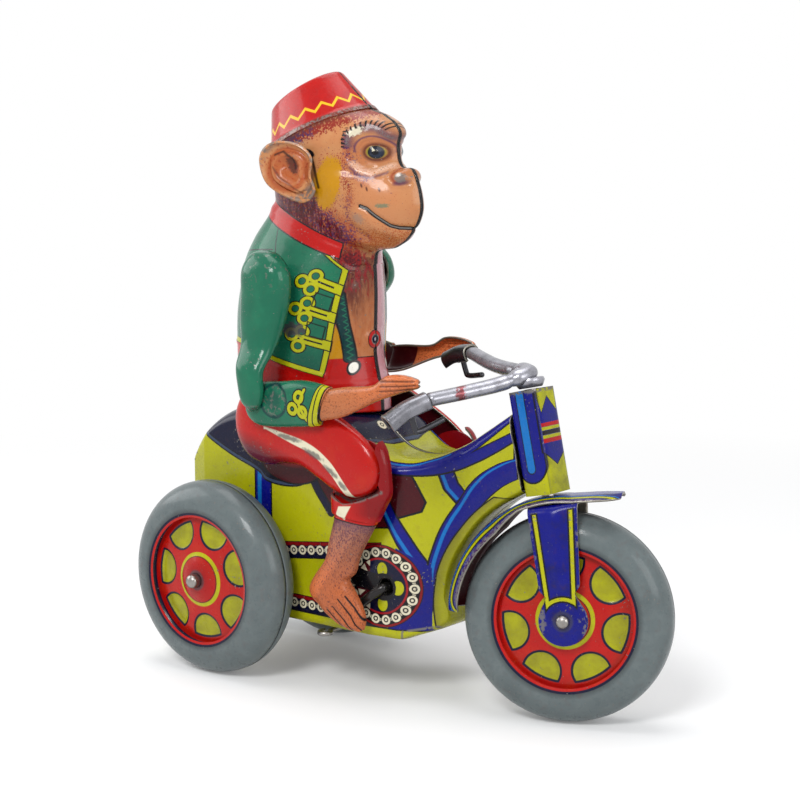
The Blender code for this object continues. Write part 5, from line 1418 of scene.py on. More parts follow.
@dataclass
class Rider:
    """The monkey: two stamped halves, the ears and the jointed limbs."""

    bench: Bench
    fez_height: float = 9.0
    fez_base: float = 11.7
    fez_top: float = 7.5
    ear_at: tuple = (14, 9.8, 92.9)
    hip_inner: float = 13.3
    knee_inner: float = 14.3
    thigh_outer: float = 16.6
    leg_inner: float = 13.6
    leg_depth: float = 3.0
    shoulder_inner: float = 13.9
    shoulder_outer: float = 18.1
    elbow_inner: float = 19.5
    elbow_outer: float = 21.4
    forearm_inner: float = 17.0
    forearm_outer: float = 19.2
    mouth: tuple = ((26.7, 86.8), (27.8, 86.4), (29.1, 85.2), (30.2, 84.3), (31.3, 83.4), (32.4, 83),
                    (33.9, 82.9))
    brow: tuple = ((24.4, 98.2), (24.5, 99.4), (25, 100.8), (26.6, 101.5), (28.6, 100.9), (29.9, 99.4))
    front: tuple = ((20.3, 56.2), (22.9, 75.2))
    notch: tuple = (20.7, 77.2)

    def sections(self) -> tuple[Array, Array]:
        """Sections as back x and z, front x and z, half width and how square they are behind and in front.

        Returns:
            Rows for the body and head, and rows for the fez.
        """
        body = [(-3.9, 49.6, 26.8, 49.6, 12.2, 2.3, 1.7), (-4.2, 54, 26.4, 54, 12.6, 2.3, 1.7),
                (-4.4, 60, 25.2, 60, 12.9, 2.2, 1.7), (-4.6, 66.5, 25.3, 66, 12.9, 2.1, 1.7),
                (-4.4, 71.5, 25.4, 70.5, 12.2, 2, 1.7), (-3.9, 76, 25.3, 74, 11.1, 2, 1.7),
                (-2, 80.5, 25.2, 76.8, 9.4, 2, 1.8), (1, 84.6, 26, 78.6, 7.6, 2.1, 1.8),
                (2.6, 87, 30, 79.4, 7.3, 2.2, 1.7), (2.9, 88.4, 33.6, 82, 7.8, 2.3, 1.6),
                (2.7, 89.7, 35.5, 85.4, 8.1, 2.3, 1.5), (2.4, 90.9, 35.4, 88.6, 8.4, 2.3, 1.45),
                (2.2, 91.9, 34.4, 91.4, 8.5, 2.3, 1.4), (2.1, 92.6, 31.4, 93.6, 8.6, 2.3, 1.5),
                (2, 93.2, 30.7, 97, 8.6, 2.3, 1.7), (2, 93.8, 30.4, 100.2, 8.6, 2.3, 1.8),
                (2, 94.2, 27.2, 102.8, 8.3, 2.2, 1.8)]
        share = np.array([-0.03, -0.02, 0.03, 0.07, 0.1, *np.linspace(0.14, 0.93, 26),
                          0.965, 0.985, 0.997, 1.0])
        spread = np.interp(share, [-0.03, -0.02, 0.07, 0.1, 0.93, 0.965, 0.985, 1.0],
                           [0.2, 0.45, 0.45, 0.2, 0.0, -0.08, -0.3, -0.75])
        tilt = math.radians(FEZ_TILT_DEG)
        middle = np.array(FEZ_BASE) + np.outer(self.fez_height * share, [-math.sin(tilt), math.cos(tilt)])
        reach = (self.fez_base + (self.fez_top - self.fez_base) * share + spread)[:, None]
        brim = np.array([[math.cos(tilt), math.sin(tilt)]])
        back = middle - brim * reach + np.outer(share, [-1.0, -2.2]) + np.outer(1.0 - share, [0.6, 0.1])
        fez = np.hstack([back, middle + brim * reach, 0.7 * reach, 0 * reach + 2.0, 0 * reach + 1.9])
        last = fez[-1]
        dome = np.array([-math.sin(tilt), math.cos(tilt)] * 2 + [0.0, 0.0, 0.0])
        crest = np.array([*(last[:2] + last[2:4]) / 2] * 2 + [0.0, 2.0, 1.9])
        lid = [last + (crest - last) * part + 0.6 * part * (2.0 - part) * dome
               for part in (0.15, 0.4, 0.7, 1)]
        return np.array(body), np.vstack([fez, lid])

    def relief(self, points: Array) -> Array:
        """How far the press raises the tin at each point, in millimetres."""
        height = 0.5 * ridge(points, self.brow, 0.9) - 1.0 * bump(points, 27.7, 96.2, 2.7, 2.7)
        height += 1.05 * bump(points, 28.0, 96.2, 1.25, 1.35)
        height += 0.16 * ridge(points, ((25.6, 96.9), (26.6, 98.4), (28.4, 98.9), (29.6, 97.9)), 0.35)
        height += 0.38 * ridge(points, ((24.2, 94.4), (25.6, 93), (28, 92.6), (30, 93.6)), 0.65)
        height += 0.18 * ridge(points, ((25.4, 95.2), (26.8, 93.9), (28.6, 93.9)), 0.4)
        height += 1.1 * bump(points, 32.7, 92.1, 1.5, 1.35) - 0.3 * bump(points, 33.6, 90.8, 0.5, 0.4)
        height -= 0.35 * ridge(points, ((31, 91.4), (32.2, 90.4), (33.6, 90.3)), 0.5)
        height += 0.5 * bump(points, 31.0, 87.6, 4.0, 3.4) - 0.42 * ridge(points, self.mouth, 0.42)
        height += 0.3 * ridge(points, ((27.8, 84.4), (29.6, 82.8), (31.4, 81.6)), 1.1)
        height -= 0.4 * ridge(points, ((24.2, 89.6), (23.7, 86.4), (24.4, 83.4), (26.4, 81.2)), 1.0)
        height += 0.35 * bump(points, 21.6, 90.8, 2.8, 5.0, -14.0)
        height += 0.3 * ridge(points, ((-1, 87.4), (7, 84.6), (21.6, 78.8)), 1.0)
        height += 0.22 * ridge(points, (*self.front, self.notch), 0.45)
        height += 0.2 * ridge(points, ((20.3, 56.2), (10.9, 59.1), (4.0, 61.0), (-5, 61.4)), 0.45)
        low, high = np.array(self.front)
        slope = (points[..., 2] - low[1]) / (high[1] - low[1])
        shirt = points[..., 0] - (low[0] + (high[0] - low[0]) * slope)
        height -= 0.18 / (1.0 + np.exp(-np.clip(shirt / 0.2, -30, 30))) * ((slope > -0.05) & (slope < 1.05))
        return height

    def half(self, side: Side, prints: list[Coating]) -> None:
        """One stamped half, from the seat to the top of the fez.

        Args:
            side: which half.
            prints: the prints of face, coat, fez and nape, which meet under the brim, in the red collar
                and behind the cheek.
        """
        body, fez = self.sections()
        rows = np.vstack([spline(body, 240), fez])
        a = np.linspace(0.0, np.pi, 160)
        power = np.where(a[None, :] <= np.pi / 2, rows[:, 5:6], rows[:, 6:7])
        along = -signed_power(np.cos(a), 2 / power)
        across = rows[:, 4:5] * np.abs(np.sin(a)) ** (2 / power)
        middle, reach = (rows[:, 0:2] + rows[:, 2:4]) / 2, (rows[:, 2:4] - rows[:, 0:2]) / 2
        grid = np.stack([middle[:, :1] + reach[:, :1] * along, across, middle[:, 1:] + reach[:, 1:] * along],
                        axis=-1)
        grid[-1, :, 2] += 0.2
        outward = normals(grid)
        outward *= np.sign((outward * (grid - np.array([11.0, 0.0, 78.0]))).sum(-1, keepdims=True))
        count = len(rows) - len(fez)
        grid[:count] += self.relief(grid)[:count, :, None] * outward[:count]
        button = np.exp(-(np.linalg.norm(grid - np.array([24.6, 1.0, 62.6]), axis=-1) / 1.5) ** 4)
        grid[:count] += 0.35 * button[:count, :, None] * outward[:count]
        grid[..., 1] = np.maximum(grid[..., 1], SEAM) * side.value
        piece = skin(f"rider_{side.word}_tin", grid, prints[0], inside=(11.0, 0.0, 78.0), sharp_deg=48.0)
        thicken(piece, self.bench.dark_edge, self.bench.inside, 0.4)
        for extra in prints[1:]:
            for material in (extra, self.bench.dark_edge, self.bench.inside):
                piece.data.materials.append(material)
        centre = np.empty(len(piece.data.polygons) * 3)
        piece.data.polygons.foreach_get("center", centre)
        centre = centre.reshape(-1, 3) / MM + np.array([Frame.origin_x, 0.0, 0.0])
        tilt = math.radians(FEZ_TILT_DEG)
        over = (centre[:, 2] - FEZ_BASE[1]) * math.cos(tilt) - (centre[:, 0] - FEZ_BASE[0]) * math.sin(tilt)
        below = centre[:, 2] < 87.4 - 0.4 * centre[:, 0]
        behind = centre[:, 0] < 23.2
        face_slot, coat_slot, fez_slot, nape_slot = 0, 3, 6, 9
        head = np.where(over > -0.28, fez_slot, np.where(behind, nape_slot, face_slot))
        zone = np.where(below, coat_slot, head).astype(np.int32)
        piece.data.polygons.foreach_set("material_index", zone)
        Frame.dress(piece, f"rider_{side.word}_half")

    def ear(self, side: Side, material: Coating) -> None:
        """A dished leaf with a rolled rim and an inner fold, standing off the head."""
        outline = spline(np.array(((-5.2, 1.6), (-4.2, 4.2), (-1.4, 5.3), (2.4, 4.6), (4.6, 2.4), (4.4, -1),
                                   (5.2, -3.6), (3.4, -5.6), (0.4, -5), (-3.8, -2.4))), 110, closed=True)
        share = np.linspace(1.0, 0.0, 30)
        lift = np.interp(share, [0.0, 0.2, 0.36, 0.5, 0.62, 0.72, 0.84, 0.93, 1.0],
                         [-1.15, -1.2, -0.95, -0.35, -0.55, -0.85, -0.45, 0.1, -0.1])
        x, z = outline[None, :, 0] * share[:, None], outline[None, :, 1] * share[:, None]
        fold = np.clip(np.cos(np.arctan2(z - 0.4, x + 0.6) - math.radians(115.0)) * 0.5 + 0.5, 0.0, 1.0)
        level = np.where(share[:, None] < 0.66, lift[:, None] * (0.75 + 0.25 * fold) + 0.3 * (1 - fold),
                         lift[:, None])
        y = side.value * (1.6 - 0.32 * x + level)
        grid = np.stack([x, y, z], axis=-1) + np.array([self.ear_at[0], side.value * self.ear_at[1],
                                                        self.ear_at[2]])
        inside = (self.ear_at[0], side.value * (self.ear_at[1] - 4.0), self.ear_at[2])
        piece = skin(f"ear_{side.word}_tin", grid, material, inside=inside, wrap_columns=True)
        Frame.dress(thicken(piece, self.bench.edge, self.bench.inside, 0.4), f"ear_{side.word}")

    def limb(self, name: str, side: Side, stations: tuple, material: Coating, count: int = 110,
             relief: Any = None, square: float = 0.7) -> Piece:
        """A half round stamping along a limb, open towards the body.

        Args:
            name: name of the piece.
            side: side of the rider.
            stations: (x, z, angle of the cross line in degrees, half width, inner distance, depth).
            material: its print.
            count: rows along the limb.
            relief: how far the press raises each point.
            square: below 1 the section is fuller than a half circle.

        Returns:
            A skin without thickness.
        """
        rows = spline(np.array(stations, float), count)
        rows[:, 3:] = np.maximum(rows[:, 3:], 0.12)
        b = np.linspace(0.0, np.pi, 44)
        lateral = -signed_power(np.cos(b), 0.8)
        shape = np.abs(np.sin(b)) ** square
        a = np.radians(rows[:, 2:3])
        reach = rows[:, 3:4] * lateral
        grid = np.stack([rows[:, :1] + np.cos(a) * reach, rows[:, 4:5] + rows[:, 5:6] * shape,
                         rows[:, 1:2] + np.sin(a) * reach], axis=-1)
        if relief is not None:
            grid[..., 1] += relief(grid) * shape
        grid[..., 1] *= side.value
        middle = grid[count // 2].mean(0) - np.array([0.0, side.value * 2.0, 0.0])
        return skin(f"{name}_tin", self.pose(grid, name, side), material,
                    inside=tuple(self.pose(middle, name, side)), sharp_deg=55.0)

    @staticmethod
    def pose(points: Array, name: str, side: Side) -> Array:
        """Points of the drawn right limb, turned to where the left one is held."""
        if side is Side.RIGHT:
            return points
        points = np.asarray(points, float)
        if name.startswith("thigh"):
            return turn_y(points, HIP, LEFT_THIGH_DEG)
        if name.startswith("lower_leg"):
            knee = turn_y(np.array([KNEE[0], 0.0, KNEE[1]]), HIP, LEFT_THIGH_DEG)
            moved = turn_y(points, KNEE, LEFT_SHIN_DEG)
            return moved + knee - np.array([KNEE[0], 0.0, KNEE[1]])
        if name.startswith("upper_arm"):
            return turn_y(points, SHOULDER, LEFT_UPPER_ARM_DEG)
        elbow = turn_y(np.array([ELBOW[0], 0.0, ELBOW[1]]), SHOULDER, LEFT_UPPER_ARM_DEG)
        moved = turn_y(points, ELBOW, LEFT_FOREARM_DEG)
        return moved + elbow - np.array([ELBOW[0], 0.0, ELBOW[1]])

    def axes(self, name: str, side: Side) -> tuple[tuple, tuple, tuple]:
        """Origin and directions that make a posed limb print as the right one does in the drawing."""
        zero, across, up = (self.pose(np.array(p), name, side)
                            for p in ((0.0, 0.0, 0.0), (1.0, 0.0, 0.0), (0.0, 0.0, 1.0)))
        return tuple(map(float, zero)), tuple(map(float, across - zero)), tuple(map(float, up - zero))

    def thigh(self, side: Side) -> None:
        """Thigh, from the rounded hip to the rounded end that lies in the lower leg's cup."""
        hip, knee = self.hip_inner, self.knee_inner
        deep, thin = self.thigh_outer - hip, self.thigh_outer - knee
        stations = ((3.6, 47, 90, 0.5, hip, 0.5), (4.4, 47.2, 92, 3.4, hip, 1.9),
                    (7, 47.4, 90, 6.4, hip, 2.9), (11.5, 47.4, 88, 7.5, hip, deep),
                    (16.6, 47.3, 82, 6.8, hip, deep), (21.6, 46.4, 72, 6.1, hip + 0.3, deep - 0.3),
                    (26.8, 44.4, 64, 6.1, hip + 0.8, deep - 0.8), (30.3, 42.7, 60, 6, knee, thin),
                    (33.2, 41.2, 58, 5.4, knee, thin), (35.4, 40.1, 58, 4.2, knee, thin - 0.3),
                    (36.9, 39.4, 58, 2.4, knee, thin - 0.9), (37.5, 39.1, 58, 0.5, knee, 0.5))
        name = f"thigh_{side.word}"
        tin = Litho(f"{name}_print", RED, *self.axes(name, side))
        v = tin.v
        tone = tin.noise(0.3, 3)
        low = tin.height((3, 45.6), (5.8, 44.8), (9.6, 44.3), (13.4, 42.9), (18, 41.4), (24, 38.6), (32, 34))
        # Painted shade: maroon, then a little purple, towards the thigh's lower edge, which faces down.
        tin.lay(v - low, MAROON, 1.6, 0.85)
        tin.lay(v - low + 2, PURPLE, 1.4, 0.35)
        tin.ink(tone.rise(0.5, 0.72) * (low - v).inside(2) * 0.5, ORANGE_RED)
        top = tin.height((12.3, 47.4), (17.6, 46.6), (23.1, 45.4), (27.5, 43.1), (30.3, 40.4), (33.4, 36))
        base = tin.height((13.2, 46.9), (19, 45), (24, 43.4), (27.4, 41.1), (29.6, 38.8), (32, 35))
        stripe = (v - top).high(base - v).high(12.6 - tin.u)
        tin.lay(stripe, CREAM, 0.1)
        for x, z, wide, turn in ((18.4, 45.9, 2.6, -8), (24.4, 43.4, 2.4, -18), (28.2, 40.9, 1.7, -30),
                                 (17.2, 48.9, 1.9, -10), (30.8, 38.7, 1, -40)):
            patch = tin.ellipse(x, z, wide, 0.5, turn) + (tin.noise(1.3, 3) - 0.5) * 0.8
            tin.lay(patch, GUNMETAL, 0.15, 0.75)
        edge = tin.noise(1.5, 5)
        tin.wear((abs(tin.w) - (hip + 0.35)).inside(0.2) * edge.rise(0.47, 0.53))
        material = tin.seal(Finish(roughness=0.24, coat=0.6, chips=0.5, grime=0.2))
        piece = self.limb(name, side, stations, material, 120)
        Frame.dress(thicken(piece, self.bench.edge, self.bench.inside_maroon, 0.38), name)

    def lower_leg(self, side: Side) -> None:
        """Lower leg and foot, with a cup open on the outside round the knee."""
        inner, depth = self.leg_inner, self.leg_depth
        rows = ((32.6, 48.9, 0, 0.5, 2.5), (32.8, 48.2, 0, 3.2, 0.6), (33.2, 46.2, 0, 5.2, 0),
                (33.2, 43.6, 0, 6.2, 0), (33.2, 40.6, 0, 6.6, 0), (33.3, 37.8, 0, 6.6, 0),
                (32.7, 35.6, -3, 5.9, 0), (32.1, 33.1, -4, 5.1, 0.1), (32, 32.5, -5, 4.5, 0.6),
                (29.6, 27.2, -10, 3.6, 0.8), (28.4, 23.6, -8, 3.5, 0.8), (25.9, 20, 17, 4.6, 0.5),
                (27.6, 17.6, 25, 4.3, 0.5), (30, 15.2, 26, 3.6, 0.8), (31.9, 13.5, 28, 2.3, 1.2),
                (33, 12.4, 28, 0.6, 2.3))
        stations = tuple((*row[:4], inner, depth - row[4]) for row in rows)
        name = f"lower_leg_{side.word}"
        toes = (((29.2, 17.9), (31.8, 15.3), (33.2, 12.6)), ((28, 16.4), (30.4, 14.2), (31.8, 12.2)),
                ((30.6, 18.6), (32.4, 16.8), (34.2, 14.2)), ((26.6, 15.6), (29, 13.4), (30.4, 12.2)))
        tin = Litho(f"{name}_print", FOOT, *self.axes(name, side))
        u, v = tin.u, tin.v
        dots, fine = tin.noise(4.2, 1, (1, 1, 0.6)), tin.noise(5.5, 1, (1, 1, 0.6))
        shade = v.rise(19, 31)
        tin.ink(shade * 0.9, SHIN)
        tin.ink(fine.rise(0.5, 0.62) * 0.4, RUST)
        tin.ink((dots + shade * 0.16 - 0.12).rise(0.5, 0.6) * 0.6, PURPLE)
        tin.ink((0.5 - fine).rise(0.06, 0.14) * shade * 0.45, FLESH)
        tin.ink((dots - 0.02).rise(0.54, 0.64) * 0.5, BROWN)
        tin.ink((abs(u - (v * 0.72 + 8.6)) - 2.6).rise(-0.4, 0.8) * 0.35, BROWN)
        tin.ink((v - 30).rise(0, 2.4) * 0.5, PURPLE)
        for toe in toes:
            tin.lay(tin.stroke(*toe) - 0.15, BLACK, 0.07)
        cuff = 32.35 - v + (u - 32.0) * -0.08
        tin.fill(cuff, RED, 0.25)
        tin.ink((cuff + 1.2).inside(0.8) * u.rise(32.5, 36.5) * 0.6, MAROON)
        tin.lay(tin.polygon((29.3, 33.4), (31.2, 32.6), (32.9, 35.3), (30, 34.9)).high(cuff), CREAM, 0.1)
        worn = tin.noise(1.6, 5)
        tin.lay(36.9 - v, DEEP_RED, 0.3, 0.75)
        lip = tin.stroke((27.4, 36.6), (31, 35.5), (35.2, 36.6), (38.9, 38.3))
        tin.wear((lip - 0.3).inside(0.15) * worn.rise(0.38, 0.46) * 0.8)
        finish = Finish(roughness=0.3, coat=0.4, chips=0.35, grime=0.15)
        material = tin.seal(finish)

        def relief(points: Array) -> Array:
            """Grooves between the fingers or toes, and a fold."""
            grooves = -0.3 * sum(ridge(points, toe, 0.28) for toe in toes)
            return grooves + 0.3 * ridge(points, ((27.6, 32.6), (32, 32.5), (36.6, 32.2)), 0.35)

        piece = self.limb(name, side, stations, material, 170, relief)
        thicken(piece, self.bench.edge, self.bench.inside_maroon, 0.4)
        settle(piece)
        lip_line = spline(np.array(((20, 36.6), (27.4, 36.6), (31, 35.5), (35.2, 36.6), (38.9, 38.3))), 40)
        turn = np.radians(np.linspace(-18.0, 30.0, 24))
        arc = np.column_stack([KNEE[0] + 6.9 * np.cos(turn), KNEE[1] + 6.9 * np.sin(turn)])
        room = [*map(tuple, lip_line), *map(tuple, arc[1:]), (37.4, 53), (20.0, 53.0)]
        carve(piece, self.block(f"{name}_room", room, name, side, inner - 1.0, 25.0, material))
        lug_points = np.array(((27.3, 35), (33, 34.6), (38.6, 36.4), (39.5, 38.4), (39.3, 42), (38.2, 44.8),
                               (35.4, 46.6), (31.4, 46.4), (28.2, 43.8), (27, 39.4)))
        lug = [tuple(p) for p in spline(lug_points, 90, closed=True)]
        carve(piece, self.block(f"{name}_lug", lug, name, side, inner, inner + 0.4, material), "UNION")
        piece.data.shade_smooth()
        piece.data.set_sharp_from_angle(angle=math.radians(38.0))
        Frame.dress(piece, name)

    def block(self, label: str, outline: list, name: str, side: Side, low: float, high: float,
              material: Coating) -> Piece:
        """A cutter or lug with a drawn outline, posed as the limb is."""
        flat = np.array(outline, float)
        layers = [self.pose(np.column_stack([flat[:, 0], np.full(len(flat), side.value * y), flat[:, 1]]),
                            name, side) for y in (low, high)]
        return close_ends(skin(label, np.stack(layers), material, wrap_columns=True, sharp_deg=20.0))

    def upper_arm(self, side: Side) -> None:
        """Upper arm: a smooth green drop, widest at the shoulder, with a worn bright edge."""
        top, low = self.shoulder_inner, self.elbow_inner
        deep, thin = self.shoulder_outer - top, self.elbow_outer - low
        stations = ((11.3, 78.8, 0, 0.5, top, 0.5), (11.4, 78.1, 0, 2.9, top, 2.4),
                    (11.8, 75.4, 0, 4.9, top, deep - 0.2), (11.9, 71, 0, 5.1, top + 0.1, deep),
                    (11.8, 66.4, 0, 4.7, top + 0.9, deep - 0.4), (12, 62, -4, 3.7, top + 2.6, deep - 1.5),
                    (12.3, 58.2, -6, 3, low - 0.2, thin + 0.1), (12.6, 54.6, -8, 2.8, low, thin),
                    (12.6, 52, -8, 2.1, low, thin - 0.3), (12.4, 50.5, -8, 0.5, low, 0.5))
        name = f"upper_arm_{side.word}"
        tin = Litho(f"{name}_print", GREEN, *self.axes(name, side))
        tin.mottle(LEAF, 0.25, 3, 0.45, 0.75, 0.5)
        worn = tin.noise(1.4, 5)
        tin.wear(worn.rise(0.6, 0.66) * tin.v.rise(70, 76) * 0.6)
        tin.wear((tin.v - 51.6).inside(0.3) * worn.rise(0.45, 0.5) * 0.7)
        material = tin.seal(Finish(roughness=0.2, coat=0.7, chips=0.4, grime=0.12, dents=0.03))
        piece = self.limb(name, side, stations, material, 110)
        Frame.dress(thicken(piece, self.bench.edge, self.bench.inside_maroon, 0.38), name)

    def forearm(self, side: Side) -> None:
        """Forearm, cuff and hand, with the fingers over the grip."""
        inner, depth = self.forearm_inner, self.forearm_outer - self.forearm_inner
        rows = ((9.4, 51.6, 90, 0.5, 1.7), (10.1, 51.6, 90, 2.6, 0.6), (12.6, 51.6, 90, 3.9, 0),
                (17.2, 51.9, 92, 4.1, 0), (22.8, 52.5, 90, 4.1, 0), (27.8, 52.5, 72, 3.7, 0),
                (28.4, 52.8, 74, 3, 0.4), (32.4, 53.7, 86, 2.6, 0.5), (38.6, 55.6, 94, 1.5, 0.6),
                (42, 57.2, 100, 1.8, 0.4), (45, 57.9, 94, 1.5, 0.4), (47.8, 58.1, 90, 0.9, 0.8),
                (48.6, 58.1, 90, 0.4, 1.6))
        stations = tuple((*row[:4], inner, depth - row[4]) for row in rows)
        name = f"forearm_{side.word}"
        fingers = (((41.0, 58.0), (44, 58.3), (48, 58.6)), ((41.2, 57.2), (44.4, 57.5), (48.2, 57.9)),
                   ((41, 56.4), (44, 56.7), (47.6, 57.3)))
        tin = Litho(f"{name}_print", FUR, *self.axes(name, side))
        dots, fine = tin.noise(3.4, 2, (0.7, 1, 1)), tin.noise(4.6, 1)
        hand = tin.u.rise(33, 40)
        tin.ink(hand * 0.7, FOOT)
        tin.ink(fine.rise(0.5, 0.62) * 0.4, RUST)
        tin.ink(dots.rise(0.56, 0.68) * 0.7, BROWN)
        tin.lay(tin.stroke((38, 57.4), (41.5, 58.4)) - 0.4 + (dots - 0.5) * 2, BROWN, 0.3, 0.6)
        for finger in fingers:
            tin.lay(tin.stroke(*finger) - 0.13, BROWN, 0.08, 0.7)
        sleeve = tin.half_plane((26.2, 46), (29.3, 58))
        tin.fill(sleeve, YELLOW, 0.3)
        tin.lay(abs(sleeve + 1) - 0.12, BLACK)
        green = tin.half_plane((23.6, 46), (27.4, 57))
        tin.fill(green, GREEN, 0.2)
        tone = tin.noise(0.3, 3)
        tin.ink(tone.rise(0.45, 0.75) * green.inside() * 0.5, LEAF)
        loops = [tin.disc(u, v, 0.85) for u, v in ((23.2, 53.9), (21.8, 51.7), (24.1, 51.3))]
        knot = abs(loops[0]).low(abs(loops[1])).low(abs(loops[2])) - 0.36
        knot = knot.low(tin.stroke((24.3, 55.2), (23.3, 52.6), (25, 49.8)) - 0.28)
        tin.fill(knot.high(green), YELLOW, 0.27)
        boss = tin.disc(17.3, 52.7, 2.9)
        tin.lay(abs(boss) - 0.3, PINE, 0.12, 0.85)
        tin.lay(boss + 1.2, PINE, 0.5, 0.5)
        worn = tin.noise(1.5, 5)
        tin.wear((boss + 0.3).inside(0.4) * worn.rise(0.54, 0.6) * 0.7)
        tin.wear((abs(tin.w) - (inner + 0.35)).inside(0.2) * worn.rise(0.45, 0.52))
        material = tin.seal(Finish(roughness=0.24, coat=0.5, chips=0.4, grime=0.2))

        def relief(points: Array) -> Array:
            """Grooves between the fingers or toes, and a fold."""
            grooves = -0.28 * sum(ridge(points, finger, 0.2) for finger in fingers)
            fold = ((17.3, 55.4), (19.6, 54.2), (20.2, 52.6), (19.6, 51), (17.4, 49.9))
            return grooves - 0.3 * ridge(points, fold, 0.4)

        piece = self.limb(name, side, stations, material, 150, relief)
        lining = Litho(f"{name}_lining", MAROON, *self.axes(name, side))
        palm = lining.half_plane((35.4, 58), (33.2, 50))
        lining.lay(palm, FOOT, 0.1)
        lining.ink(palm.inside(0.5) * lining.noise(3.4, 2).rise(0.52, 0.66) * 0.7, BROWN)
        inner_coat = lining.seal(Finish(roughness=0.34, coat=0.3, chips=0.25, grime=0.5))
        Frame.dress(thicken(piece, self.bench.edge, inner_coat, 0.38), name)

    def build(self) -> None:
        """Make the halves, ears and limbs, and finish the rivets."""
        prints = self.print_rider()
        ear_print = self.print_ear()
        for side in Side:
            self.half(side, prints)
            self.ear(side, ear_print)
            self.thigh(side)
            self.lower_leg(side)
            self.upper_arm(side)
            self.forearm(side)
            for joint in ("hip", "knee", "shoulder", "elbow"):
                Frame.coat(f"{joint}_rivet_{side.word}", self.bench.steel)

    def print_ear(self) -> Coating:
        """Tan ear, rust in its hollow, dark at the middle and worn along its rim."""
        x, _, z = self.ear_at
        tin = Litho("ear_print", TAN, (x, 0.0, z))
        dots = tin.noise(2, 3)
        far = tin.ellipse(-0.2, 0.2, 4.9, 5.1, 20)
        tin.ink(dots.rise(0.5, 0.6) * 0.5, FUR)
        rim = (abs(far + 1.5) - 0.5).inside(0.25)
        tin.ink(rim * 0.8, RUST)
        hollow = tin.ellipse(-0.2, 0.3, 2.6, 3, 25)
        tin.lay(hollow, RUST, 0.4, 0.75)
        tin.lay(tin.ellipse(0.6, 1, 1, 1.7, 30) + (dots - 0.5) * 1.2, BROWN, 0.2)
        tin.lay(tin.stroke((-2.6, 2.8), (-1, 3.4), (0.8, 2.2), (1.2, 0.4)) - 0.2, BLACK, 0.12, 0.8)
        tin.lay(tin.stroke((-2.8, 0.6), (-1.6, -1.2), (0.6, -2.6), (2.4, -3.8)) - 0.16, BROWN, 0.1, 0.7)
        tin.lay(tin.stroke((-1.2, 0.8), (-0.4, -0.8), (1.4, -1.8)) - 0.14, RUST, 0.1, 0.6)
        tin.ink((dots - 0.02).rise(0.58, 0.64) * 0.5, DEEP_RED)
        edge = tin.noise(1.3, 4)
        tin.wear((far + 0.5).rise(-0.2, 0.5) * edge.rise(0.44, 0.52) * 0.8)
        return tin.seal(Finish(roughness=0.3, coat=0.4, chips=0.3, grime=0.2))

    def print_cheek(self, tin: Litho) -> tuple[Field, Field]:
        """The stippled shading that runs down the cheek and jaw, on the ground of the skin."""
        fine, coarse = self.print_skin(tin)
        cheek = tin.stroke((23.4, 94.6), (24, 92), (25, 89.4), (25, 87.4))
        tin.stipple((cheek - 0.9).inside(1.3), DEEP_RED, fine)
        tin.stipple((cheek - 0.3).inside(1.2) * 0.7, PURPLE, coarse)
        fold = tin.stroke((24.6, 88.2), (24, 85.6), (24.8, 82.8), (27.6, 81))
        tin.stipple((fold - 0.8).inside(1.3), PURPLE, coarse)
        tin.lay(fold - 0.5, RUST, 1.4, 0.45)
        return fine, coarse

    def print_nape(self, tin: Litho) -> None:
        """Side and back of the head: the ochre patch before the ear, its slot and the neck."""
        fine, _ = self.print_cheek(tin)
        patch = tin.ellipse(20.7, 90.8, 2.7, 4.7, -14)
        tin.lay(patch + (fine - 0.5) * 2, OCHRE, 0.15)
        tin.stipple((abs(patch - 0.2) - 0.2).inside(0.8) * 0.8, DEEP_RED, fine)
        slot = tin.stroke((15.6, 95.9), (17.4, 95.2), (18.2, 92.6), (19, 90)) - 0.28
        tin.lay(slot, BLACK, 0.1, 0.85)
        tin.lay(tin.ellipse(16.8, 96, 1.3, 0.7, -20), BLACK, 0.1)

    def print_face(self, tin: Litho) -> None:
        """Face: tan and orange with a ringed eye, a worn brow with a painted highlight, a ball nose with a
        painted highlight and long mouth.
        """
        u, v = tin.u, tin.v
        fine, coarse = self.print_cheek(tin)
        eye_u, eye_v = 28, 96.2
        muzzle = tin.ellipse(29.8, 87.4, 4.6, 5.4, -12)
        tin.lay(muzzle, FLESH, 1.6, 0.7)
        tin.lay(tin.ellipse(22.9, 98, 2, 2.9, 14), FLESH, 0.8, 0.7)
        shade = tin.stroke((23.8, 98.6), (24.2, 95.6), (25.2, 93), (27.2, 91.6))
        tin.lay(shade - 0.8, RUST, 1.2, 0.6)
        tin.stipple((shade - 0.8).inside(1.2) * 0.9, PURPLE, coarse)
        tin.stipple((shade - 1).inside(1.4) * 0.7, DEEP_RED, fine)
        tin.lay(tin.ellipse(26.2, 84.6, 1.1, 0.8, -30) + (coarse - 0.5) * 1.6, WORN, 0.3, 0.5)
        tin.stipple((v - 83.4).inside(1.8) * u.rise(24, 27) * 0.8, RUST, fine)
        brow = tin.stroke((24.3, 97.6), (24.7, 99.4), (26.2, 100.5), (28.4, 100.4), (30.2, 98.8))
        tin.lay(brow - 0.8, PURPLE, 0.5, 0.7)
        tin.ink((brow - 0.35).inside(0.3) * fine.rise(0.42, 0.56) * 0.8, WORN)
        # Cream on the raised brow: partly worn print, partly a painted highlight.
        bright = tin.ellipse(25.3, 99.9, 1.1, 0.7, 35) + (coarse - 0.5) * 1.4
        tin.lay(bright, CREAM, 0.15, 0.9)
        turn = tin.arithmetic("ARCTAN2", v - 97, u - 27.5)
        far = tin.ellipse(27.4, 97.4, 4.2, 3.9)
        lash = abs(turn.repeat(math.radians(9.5), math.radians(64))) * 4.4 - 0.14
        tin.lay(lash.high(abs(far) - 0.5).high(0.9 - turn), BLACK, 0.06)
        lash = abs((v - 0.4).repeat(0.7)) - 0.13
